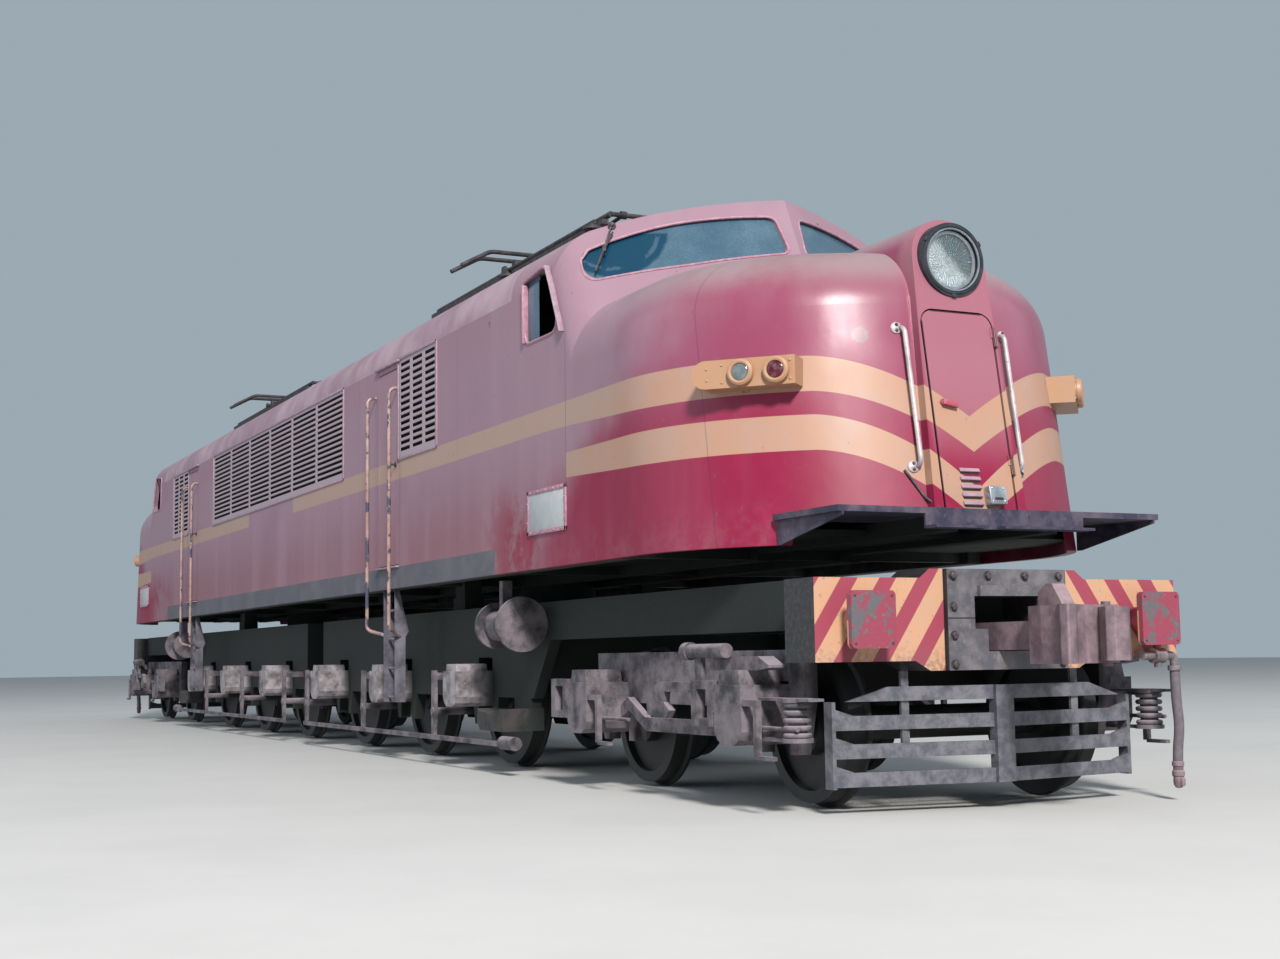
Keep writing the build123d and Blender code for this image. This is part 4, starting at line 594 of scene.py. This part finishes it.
NODE_MATERIALS = {
    "roof": "roof", "sill_panels": "skirt", "foot_plates": "foot", "cab_glass": "pane",
    "headlights": "rim", "headlight_glass": "lens", "marker_lamps": "marker", "handrails": "rail",
    "ladders": "ladder", "cab_rooms": "cab", "cab_fittings": "cab", "machine_block": "skirt",
    "pantograph_bases": "panto", "roof_gear": "panto", "underframe": "gear",
    "right_louvres": "louvre", "left_louvres": "louvre",
}
FAMILY_MATERIALS = (
    ("wheels", "wheel"), ("coupler", "coupler"), ("end_beam", "beam"), ("arm", "panto"),
    ("panto_head", "panto"), ("spring_gear", "spring"), ("brake_gear", "casting"),
    ("truck_frame", "gear"), ("guide_truck", "casting"), ("hose", "hose"),
)


def node_material(name):
    if name in NODE_MATERIALS:
        return NODE_MATERIALS[name]
    for part, material in FAMILY_MATERIALS:
        if part in name:
            return material
    return "body"


def dress_nodes():
    for name, item in nodes.items():
        item.data.materials.clear()
        item.data.materials.append(MATERIALS[node_material(name)])


# Mesh pieces
def facing(origin, out, up=(0, 0, 1)):
    """A local frame whose Z points along out and whose Y is as near up as it can be."""
    out = Vector(out).normalized()
    across = Vector(up).cross(out).normalized()
    return Matrix.Translation(origin) @ Matrix((across, out.cross(across), out)).transposed().to_4x4()


def at(place, x, y, z=0.0, turn=0.0):
    return place @ Matrix.Translation((x, y, z)) @ Matrix.Rotation(turn, 4, "Z")


def circle(sides):
    """Points of the unit circle."""
    return [(cos(2 * pi * k / sides), sin(2 * pi * k / sides)) for k in range(sides)]


class Shape:
    """One piece's mesh, laid out for the front end or for the -Y side."""

    def __init__(self):
        self.mesh = bmesh.new()

    def block(self, place, size, bevel):
        """A block centred on the place, with its edges eased."""
        made = bmesh.ops.create_cube(self.mesh, size=1.0, matrix=place @ Matrix.Diagonal((*size, 1)))
        edges = list({edge for corner in made["verts"] for edge in corner.link_edges})
        bmesh.ops.bevel(self.mesh, geom=edges, offset=bevel, segments=2, profile=0.5, affect="EDGES")

    def lathe(self, place, profile, sides):
        """A form turned about the place's Z from (radius, height) points."""
        rings = []
        for radius, height in profile:
            count = sides if radius > 1e-6 else 1
            rings.append([self.mesh.verts.new(place @ Vector((radius * c, radius * s, height)))
                          for c, s in circle(sides)[:count]])
        for a, b in zip(rings, rings[1:]):
            for k in range(sides):
                n = (k + 1) % sides
                corners = [a[k % len(a)], a[n % len(a)], b[n % len(b)], b[k % len(b)]]
                corners = list(dict.fromkeys(corners))
                if len(corners) > 2:
                    self.mesh.faces.new(corners)

    def tube(self, points, radius, sides, closed=False):
        """A round bar along points, with its ends closed."""
        points = [Vector(point) for point in points]
        count = len(points)
        rings = []
        side = None
        for k, point in enumerate(points):
            before = points[k - 1] if k or closed else point
            after = points[(k + 1) % count] if k < count - 1 or closed else point
            along = (after - before).normalized()
            if side is None:
                side = along.orthogonal().normalized()
            side = (side - along * side.dot(along)).normalized()
            other = along.cross(side)
            rings.append([self.mesh.verts.new(point + radius * (c * side + s * other))
                          for c, s in circle(sides)])
        pairs = list(zip(rings, rings[1:])) + ([(rings[-1], rings[0])] if closed else [])
        for a, b in pairs:
            for i in range(sides):
                n = (i + 1) % sides
                self.mesh.faces.new((a[i], a[n], b[n], b[i]))
        if not closed:
            self.mesh.faces.new(rings[0][::-1])
            self.mesh.faces.new(rings[-1])

    def bolt(self, place, radius, height):
        """A hexagon head on a washer."""
        self.lathe(place, ((0, 0), (radius * 1.35, 0), (radius * 1.35, 0.003), (0, 0.003)), 14)
        self.lathe(place, ((radius, 0.003), (radius, height), (radius * 0.8, height + 0.003),
                           (0, height + 0.003)), 6)

    def rivet(self, place, radius):
        self.lathe(place, ((radius, 0), (radius * 0.9, radius * 0.4), (radius * 0.5, radius * 0.7),
                           (0, radius * 0.8)), 10)

    def finish(self, name, body, slot, material, turn):
        """Makes the object, turned to its end of the locomotive."""
        bmesh.ops.transform(self.mesh, matrix=turn, verts=self.mesh.verts)
        bmesh.ops.recalc_face_normals(self.mesh, faces=self.mesh.faces)
        data = bpy.data.meshes.new(name)
        self.mesh.to_mesh(data)
        self.mesh.free()
        for polygon in data.polygons:
            polygon.use_smooth = True
        data.set_sharp_from_angle(angle=radians(38))
        data.materials.append(MATERIALS[material])
        item = bpy.data.objects.new(name, data)
        bpy.context.scene.collection.objects.link(item)
        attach(item, body)
        return item


# Hoses
def coupling(name, body, turn):
    """Clamp, collar and rounded coupling head on the hose's lower end."""
    form = Shape()
    x, y, low = HOSE[-1]
    place = facing((x, y, low), (0, 0, -1), (1, 0, 0))
    form.lathe(place, ((0.031, -0.075), (0.036, -0.072), (0.036, -0.048), (0.031, -0.045)), 20)
    form.lathe(place, ((0.031, -0.022), (0.037, -0.016), (0.037, 0.010), (0.030, 0.018), (0.032, 0.040),
                       (0.030, 0.062), (0.020, 0.080), (0.0, 0.086)), 20)
    form.block(at(place, 0.0, 0.026, 0.045), (0.030, 0.040, 0.050), 0.008)
    return form.finish(name, body, "rusty_coupler", "coupler", turn)


def hoses():
    for end, turn in ENDS:
        curve = bpy.data.curves.new(f"{end}_hose", "CURVE")
        curve.dimensions = "3D"
        curve.resolution_u = 24
        spline = curve.splines.new("NURBS")
        spline.points.add(len(HOSE) - 1)
        for point, place in zip(spline.points, HOSE):
            point.co = (*(turn @ Vector(place)), 1)
        spline.order_u = 3
        spline.use_endpoint_u = True
        curve.bevel_depth = HOSE_DIAMETER / 2
        curve.bevel_resolution = 5
        curve.use_fill_caps = True
        curve.materials.append(MATERIALS["hose"])
        item = bpy.data.objects.new(f"{end}_hose", curve)
        bpy.context.scene.collection.objects.link(item)
        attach(item, f"{end}_truck")
        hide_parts(f"{end}_brake_hose")
        head = coupling(f"{end}_hose_coupling", f"{end}_truck", turn)


# Places on the body
PANEL = facing((PANEL_X, 0, BODY_BOTTOM), (1, 0, NOSE_RAKE))
HEAD = facing((LAMP_X, 0, LAMP_Z), (1, 0, 0))


def panel(y, z, out=0.0, turn=0.0):
    """A place on the raked middle panel, by its height above the rail."""
    return at(PANEL, y, (z + LIFT - BODY_BOTTOM) * sqrt(1 + NOSE_RAKE ** 2), out, turn)


def on_side(x, z):
    """A place on the -Y side, by its height above the rail."""
    return facing((x, -BODY_HALF, z + LIFT), (0, -1, 0))


def skins():
    """The outer surface of both nose shells, for seating what lies on them."""
    mesh = bmesh.new()
    mesh.from_mesh(nodes["nose_shells"].data)
    tree = BVHTree.FromBMesh(mesh)
    mesh.free()
    return tree


SKIN = skins()


def on_skin(y, z):
    """Where a ray from ahead meets the front nose at a height above the rail, with the normal there."""
    return SKIN.ray_cast(Vector((11.2, y, z + LIFT)), Vector((-1, 0, 0)))[:2]


def arc_through(a, b, c, count):
    """Points of the circle through three points in a plane."""
    d = 2 * (a[0] * (b[1] - c[1]) + b[0] * (c[1] - a[1]) + c[0] * (a[1] - b[1]))
    squares = [p[0] ** 2 + p[1] ** 2 for p in (a, b, c)]
    u = (squares[0] * (b[1] - c[1]) + squares[1] * (c[1] - a[1]) + squares[2] * (a[1] - b[1])) / d
    v = (squares[0] * (c[0] - b[0]) + squares[1] * (a[0] - c[0]) + squares[2] * (b[0] - a[0])) / d
    middle = Vector((u, v))
    start, end = Vector(a) - middle, Vector(c) - middle
    turn = start.angle_signed(end)
    return [middle + Matrix.Rotation(-turn * k / count, 2) @ start for k in range(count + 1)]


def eased(points, radii, steps):
    """A closed outline with each corner rounded by a quadratic arc."""
    found = []
    for k, (point, radius) in enumerate(zip(points, radii)):
        point = Vector(point)
        if not radius:
            found.append(point)
            continue
        a = point + (Vector(points[k - 1]) - point).normalized() * radius
        c = point + (Vector(points[(k + 1) % len(points)]) - point).normalized() * radius
        for t in (i / steps for i in range(steps + 1)):
            found.append((1 - t) ** 2 * a + 2 * t * (1 - t) * point + t ** 2 * c)
    return found


def screen_outline():
    """The screen's outline (y, z) with its long edges curved and its corners rounded."""
    top_in, top, top_out, low_out, low, low_in = SCREEN_OUTLINE
    inner, outer = SCREEN_CORNERS
    upper = arc_through(top_in, top, top_out, 14)[1:-1]
    lower = arc_through(low_out, low, low_in, 14)[1:-1]
    points = [Vector(top_in), *upper, Vector(top_out), Vector(low_out), *lower, Vector(low_in)]
    radii = [inner] + [0] * len(upper) + [outer, outer] + [0] * len(lower) + [inner]
    return eased(points, radii, 7)


# Pieces of the nose
def screen_rubbers(end, turn):
    """A rim round each screen, on the skin beside it; a point where the ray meets no skin is left out."""
    form = Shape()
    outline = screen_outline()
    middle = sum(outline, Vector((0, 0))) / len(outline)
    wider = [point + (point - middle).normalized() * 0.008 for point in outline]
    for side in (-1, 1):
        ring = [on_skin(side * point.x, point.y)[0] for point in wider]
        form.tube([spot for spot in ring if spot is not None], 0.0095, 8, closed=True)
    form.finish(f"{end}_screen_rubbers", "carbody", "maroon_paint", "frame_paint", turn)


def window_rubbers(end, turn):
    form = Shape()
    outline = eased(SIDE_WINDOW, [SIDE_WINDOW_CORNER] * len(SIDE_WINDOW), 6)
    for y in (-BODY_HALF + 0.002, BODY_HALF - 0.002):
        form.tube([(x, y, z + LIFT) for x, z in outline], 0.012, 8, closed=True)
    form.finish(f"{end}_window_rubbers", "carbody", "maroon_paint", "frame_paint", turn)


def wipers(end, turn):
    """A foot above each screen, with an arm down to the middle of the blade."""
    form = Shape()
    for side in (-1, 1):
        seat, normal = on_skin(side * WIPER_FOOT[0], WIPER_FOOT[1])
        foot = facing(seat, normal)
        form.lathe(foot, ((0.030, -0.004), (0.030, 0.012), (0.018, 0.020), (0.014, 0.040),
                          (0.0, 0.044)), 16)
        high, middle, tip = (Vector((x, side * y, z + LIFT)) for x, y, z in WIPER_BLADE)
        middle = middle + normal * 0.016
        start = seat + normal * 0.030
        form.tube([start, (start + middle) / 2 + normal * 0.006, middle], 0.007, 8)
        form.tube([high + normal * 0.012, middle - normal * 0.002, tip + normal * 0.012], 0.009, 6)
        form.block(facing(middle, normal), (0.026, 0.050, 0.020), 0.004)
    form.finish(f"{end}_wipers", "carbody", "rail_metal", "bolt", turn)


def headlight(end, turn):
    """Bright rings, a dark outer rim with three clips, and the bowl behind the glass."""
    ring, clips, bowl = Shape(), Shape(), Shape()
    ring.lathe(HEAD, ((0.186, 0.049), (0.189, 0.055), (0.196, 0.056), (0.200, 0.049)), 64)
    ring.lathe(HEAD, ((0.162, 0.0215), (0.164, 0.027), (0.182, 0.029), (0.186, 0.022)), 64)
    ring.finish(f"{end}_headlight_ring", "carbody", "lamp_rim", "silver", turn)
    for k in range(3):
        place = HEAD @ Matrix.Rotation(radians(30 + 120 * k), 4, "Z")
        clips.block(at(place, 0.224, 0, 0.046), (0.022, 0.034, 0.024), 0.004)
    clips.lathe(HEAD, ((0.201, 0.049), (0.203, 0.056), (0.212, 0.057), (0.219, 0.049)), 64)
    clips.finish(f"{end}_headlight_clips", "carbody", "lamp_rim", "rim", turn)
    bowl.lathe(HEAD, ((0.186, 0.0085), (0.165, 0.0070), (0.135, 0.0030), (0.100, -0.0015),
                      (0.060, -0.0050), (0.030, -0.0072), (0.0, -0.0080)), 72)
    bowl.finish(f"{end}_headlight_bowl", "carbody", "lamp_rim", "reflector", turn)


def marker_place(side, along, height=0.0, out=0.0):
    """A place on the face of a marker housing, by its distance outward along the housing."""
    centre = Vector((NOSE_CENTRE_X - NOSE_RAKE * (MARKER_Z - BODY_BOTTOM), 0, MARKER_Z + height))
    ahead = Vector((cos(MARKER_TURN), side * sin(MARKER_TURN), 0))
    outward = Vector((-sin(MARKER_TURN), side * cos(MARKER_TURN), 0))
    return facing(centre + ahead * (MARKER_FACE + out) + outward * along, ahead)


def markers(end, turn):
    """Bezels with rivets, and a red and a clear lens in each marker housing."""
    bezels, clear, red = Shape(), Shape(), Shape()
    for side in (-1, 1):
        for along, lens in zip(MARKER_LAMPS, (red, clear)):
            place = marker_place(side, along, out=MARKER_HOOD)
            bezels.lathe(place, ((0.052, 0.001), (0.055, 0.010), (0.066, 0.013), (0.079, 0.004),
                                 (0.083, -0.018)), 32)
            lens.lathe(place, ((0.051, 0.0015), (0.045, 0.005), (0.031, 0.009), (0.015, 0.012),
                               (0.0, 0.013)), 28)
        for along, height in MARKER_RIVETS:
            bezels.rivet(marker_place(side, along, height), 0.009)
    bezels.finish(f"{end}_marker_bezels", "carbody", "marker_cream", "marker", turn)
    clear.finish(f"{end}_marker_clear_lenses", "carbody", "lamp_glass", "lens_clear", turn)
    red.finish(f"{end}_marker_red_lenses", "carbody", "lamp_glass", "lens_red", turn)


def door_fittings(end, turn):
    """Latch, hooded slots and the small box on the nose door; black strips under the hoods and in the
    box's mouth are painted shade.
    """
    body = f"{end}_nose_door"
    latch, slots, shade_strips, case, mouth = (Shape() for k in range(5))
    y, z = LATCH
    latch.block(panel(y, z, 0.022, radians(-10)), (0.105, 0.040, 0.026), 0.006)
    latch.lathe(panel(y - 0.041, z + 0.008), ((0.020, 0), (0.020, 0.010), (0.012, 0.024),
                                              (0, 0.026)), 16)
    latch.finish(f"{end}_door_latch", body, "maroon_paint", "fresh_red", turn)
    lean = Matrix.Rotation(radians(-24), 4, "X")
    for k in range(5):
        y, z = DOOR_SLOTS[0], DOOR_SLOTS[1] - SLOT_PITCH * k
        slots.block(panel(y, z, 0.006) @ lean, (0.145, 0.026, 0.012), 0.004)
        # Painted shade: a black strip under each hood, where its opening lies.
        shade_strips.block(panel(y, z - 0.019, 0.001), (0.130, 0.010, 0.002), 0.0005)
    slots.finish(f"{end}_door_slots", body, "maroon_paint", "fitting", turn)
    shade_strips.finish(f"{end}_door_slot_gaps", body, "dark_gear", "slot_shade", turn)
    y, z = DOOR_BOX
    case.block(panel(y, z, 0.030), (0.121, 0.112, 0.060), 0.006)
    for dz in (0.039, -0.037):
        for dy in (-0.043, 0.043):
            case.rivet(panel(y + dy, z + dz, 0.060), 0.006)
    case.finish(f"{end}_door_box", body, "grey_casting", "silver", turn)
    # Painted shade: a black strip in the box's mouth.
    mouth.block(panel(y, z - 0.023, 0.0605), (0.060, 0.016, 0.004), 0.0018)
    mouth.finish(f"{end}_door_box_mouth", body, "dark_gear", "slot_shade", turn)


def rail_flanges(end, turn):
    """Flanges and bolts where the nose rails meet the skin, and the rod beside the lower bracket."""
    form, bolts = Shape(), Shape()
    for side in (-1, 1):
        for z in NOSE_RAIL_ENDS:
            place = facing(*on_skin(side * NOSE_RAIL_Y, z))
            form.lathe(place, ((0.0, -0.002), (0.036, -0.002), (0.036, 0.008), (0.028, 0.013),
                               (0.0, 0.013)), 22)
            for dy in (0.018, -0.018):
                bolts.bolt(at(place, 0, dy, 0.013), 0.008, 0.006)
    form.finish(f"{end}_rail_flanges", "carbody", "rail_metal", "rail", turn)
    seats = [on_skin(y, z) for y, z in NOSE_ROD]
    bolts.tube([spot + normal * 0.010 for spot, normal in seats], 0.008, 8)
    bolts.finish(f"{end}_rail_bolts", "carbody", "dark_gear", "bolt", turn)


# Pieces of the side and of the beam
def side_plates(end, turn):
    """Blank plates in riveted frames."""
    frames, faces = Shape(), Shape()
    wide, high = PLATE_FRAME
    for x, z in SIDE_PLATES:
        place = on_side(x, z)
        for sign in (1, -1):
            frames.block(at(place, 0, sign * high, 0.006), (0.700, 0.030, 0.014), 0.003)
            frames.block(at(place, sign * wide, 0, 0.006), (0.028, 0.324, 0.014), 0.003)
            for k in range(5):
                frames.rivet(at(place, -0.28 + 0.14 * k, sign * high, 0.013), 0.009)
            for dz in (-0.07, 0.07):
                frames.rivet(at(place, sign * wide, dz, 0.013), 0.009)
        faces.block(at(place, 0, 0, 0.004), (0.650, 0.270, 0.008), 0.002)
    frames.finish(f"{end}_side_plate_frames", "carbody", "maroon_paint", "frame_paint", turn)
    faces.finish(f"{end}_side_plate_faces", "carbody", "rail_metal", "blank", turn)


def louvre_frame(form, x0, x1):
    """Strips round one panel of louvres, with rivets above and below."""
    low, high = LOUVRE_Z
    width, height = x1 - x0, high - low
    place = on_side((x0 + x1) / 2, (low + high) / 2)
    count = max(3, round(width / 0.25))
    for sign in (-1, 1):
        dx, dz = sign * (width / 2 + 0.018), sign * (height / 2 + 0.012)
        form.block(at(place, 0, dz, 0.004), (width + 0.060, 0.024, 0.012), 0.003)
        form.block(at(place, dx, 0, 0.004), (0.024, height + 0.048, 0.012), 0.003)
        for k in range(count + 1):
            form.rivet(at(place, (k / count - 0.5) * width, dz, 0.009), 0.007)


def side_fittings(end, turn):
    """Door caps and sills, louvre frames, and the strip and sash of the side window."""
    form, sash = Shape(), Shape()
    for x0, x1 in BODY_DOORS:
        middle = (x0 + x1) / 2
        form.block(at(on_side(middle, 3.545), 0, 0, 0.014), (x1 - x0 + 0.15, 0.022, 0.034), 0.006)
        form.block(at(on_side(middle, 1.700), 0, 0, 0.016), (x1 - x0 + 0.06, 0.016, 0.036), 0.004)
    for x0, x1 in LOUVRES:
        louvre_frame(form, x0, x1)
    for (x0, z0), (x1, z1) in zip(WINDOW_STRIP, WINDOW_STRIP[1:]):
        length = sqrt((x1 - x0) ** 2 + (z1 - z0) ** 2)
        slope = atan((z1 - z0) / (x1 - x0))
        place = on_side((x0 + x1) / 2, (z0 + z1) / 2)
        form.block(at(place, 0, 0, 0.020, slope), (length + 0.006, 0.010, 0.044), 0.003)
    form.finish(f"{end}_side_fittings", "carbody", "maroon_paint", "fitting", turn)
    sash.block(on_side(7.215, 3.400), (0.030, 0.440, 0.050), 0.006)
    sash.finish(f"{end}_window_sash", "carbody", "maroon_paint", "frame_paint", turn)
    for (x0, x1), door in zip(BODY_DOORS, DOOR_NAMES[end]):
        knob = Shape()
        place = on_side(x1 - 0.06, 2.620)
        knob.lathe(place, ((0.026, 0), (0.026, 0.008), (0.012, 0.012), (0.010, 0.040), (0.022, 0.044),
                           (0.022, 0.056), (0.0, 0.060)), 16)
        knob.finish(f"{door}_knob", door, "dark_gear", "bolt", turn)


def beam_bolts(end, turn):
    """Bolts round the beam's middle plate, and rivets in the corners of both pads."""
    form = Shape()
    top = BEAM_BOLT_ROWS[0]
    spots = [(-BEAM_BOLT_Y, z) for z in BEAM_BOLT_ROWS] + [(y, top) for y in (-0.138, 0.126, 0.373)]
    spots += [(BEAM_BOLT_Y, z) for z in BEAM_BOLT_ROWS[1:]]
    for y, z in spots:
        form.bolt(facing((BEAM_PLATE_X, y, z + LIFT), (1, 0, 0)), 0.021, 0.018)
    y, z = PAD_CENTRE
    for side in (-1, 1):
        for dy in (-0.120, 0.120):
            for dz in (-0.130, 0.130):
                form.rivet(facing((PAD_FRONT_X, side * y + dy, z + dz + LIFT), (1, 0, 0)), 0.008)
    form.finish(f"{end}_beam_bolts", f"{end}_truck", "dark_gear", "bolt", turn)


def stage():
    reach = 120
    corners = [(-reach, -reach, 0), (reach, -reach, 0), (reach, reach, 0), (-reach, reach, 0)]
    mesh = bpy.data.meshes.new("floor")
    mesh.from_pydata(corners, [], [(0, 1, 2, 3)])
    mesh.materials.append(MATERIALS["floor"])
    floor = bpy.data.objects.new("floor", mesh)
    bpy.context.scene.collection.objects.link(floor)


camera()
hoses()
lighting()
dress_nodes()
stage()
for end, turn in ENDS:
    for dress in (screen_rubbers, window_rubbers, wipers, headlight, markers, door_fittings,
                  rail_flanges, side_plates, side_fittings, beam_bolts):
        dress(end, turn)
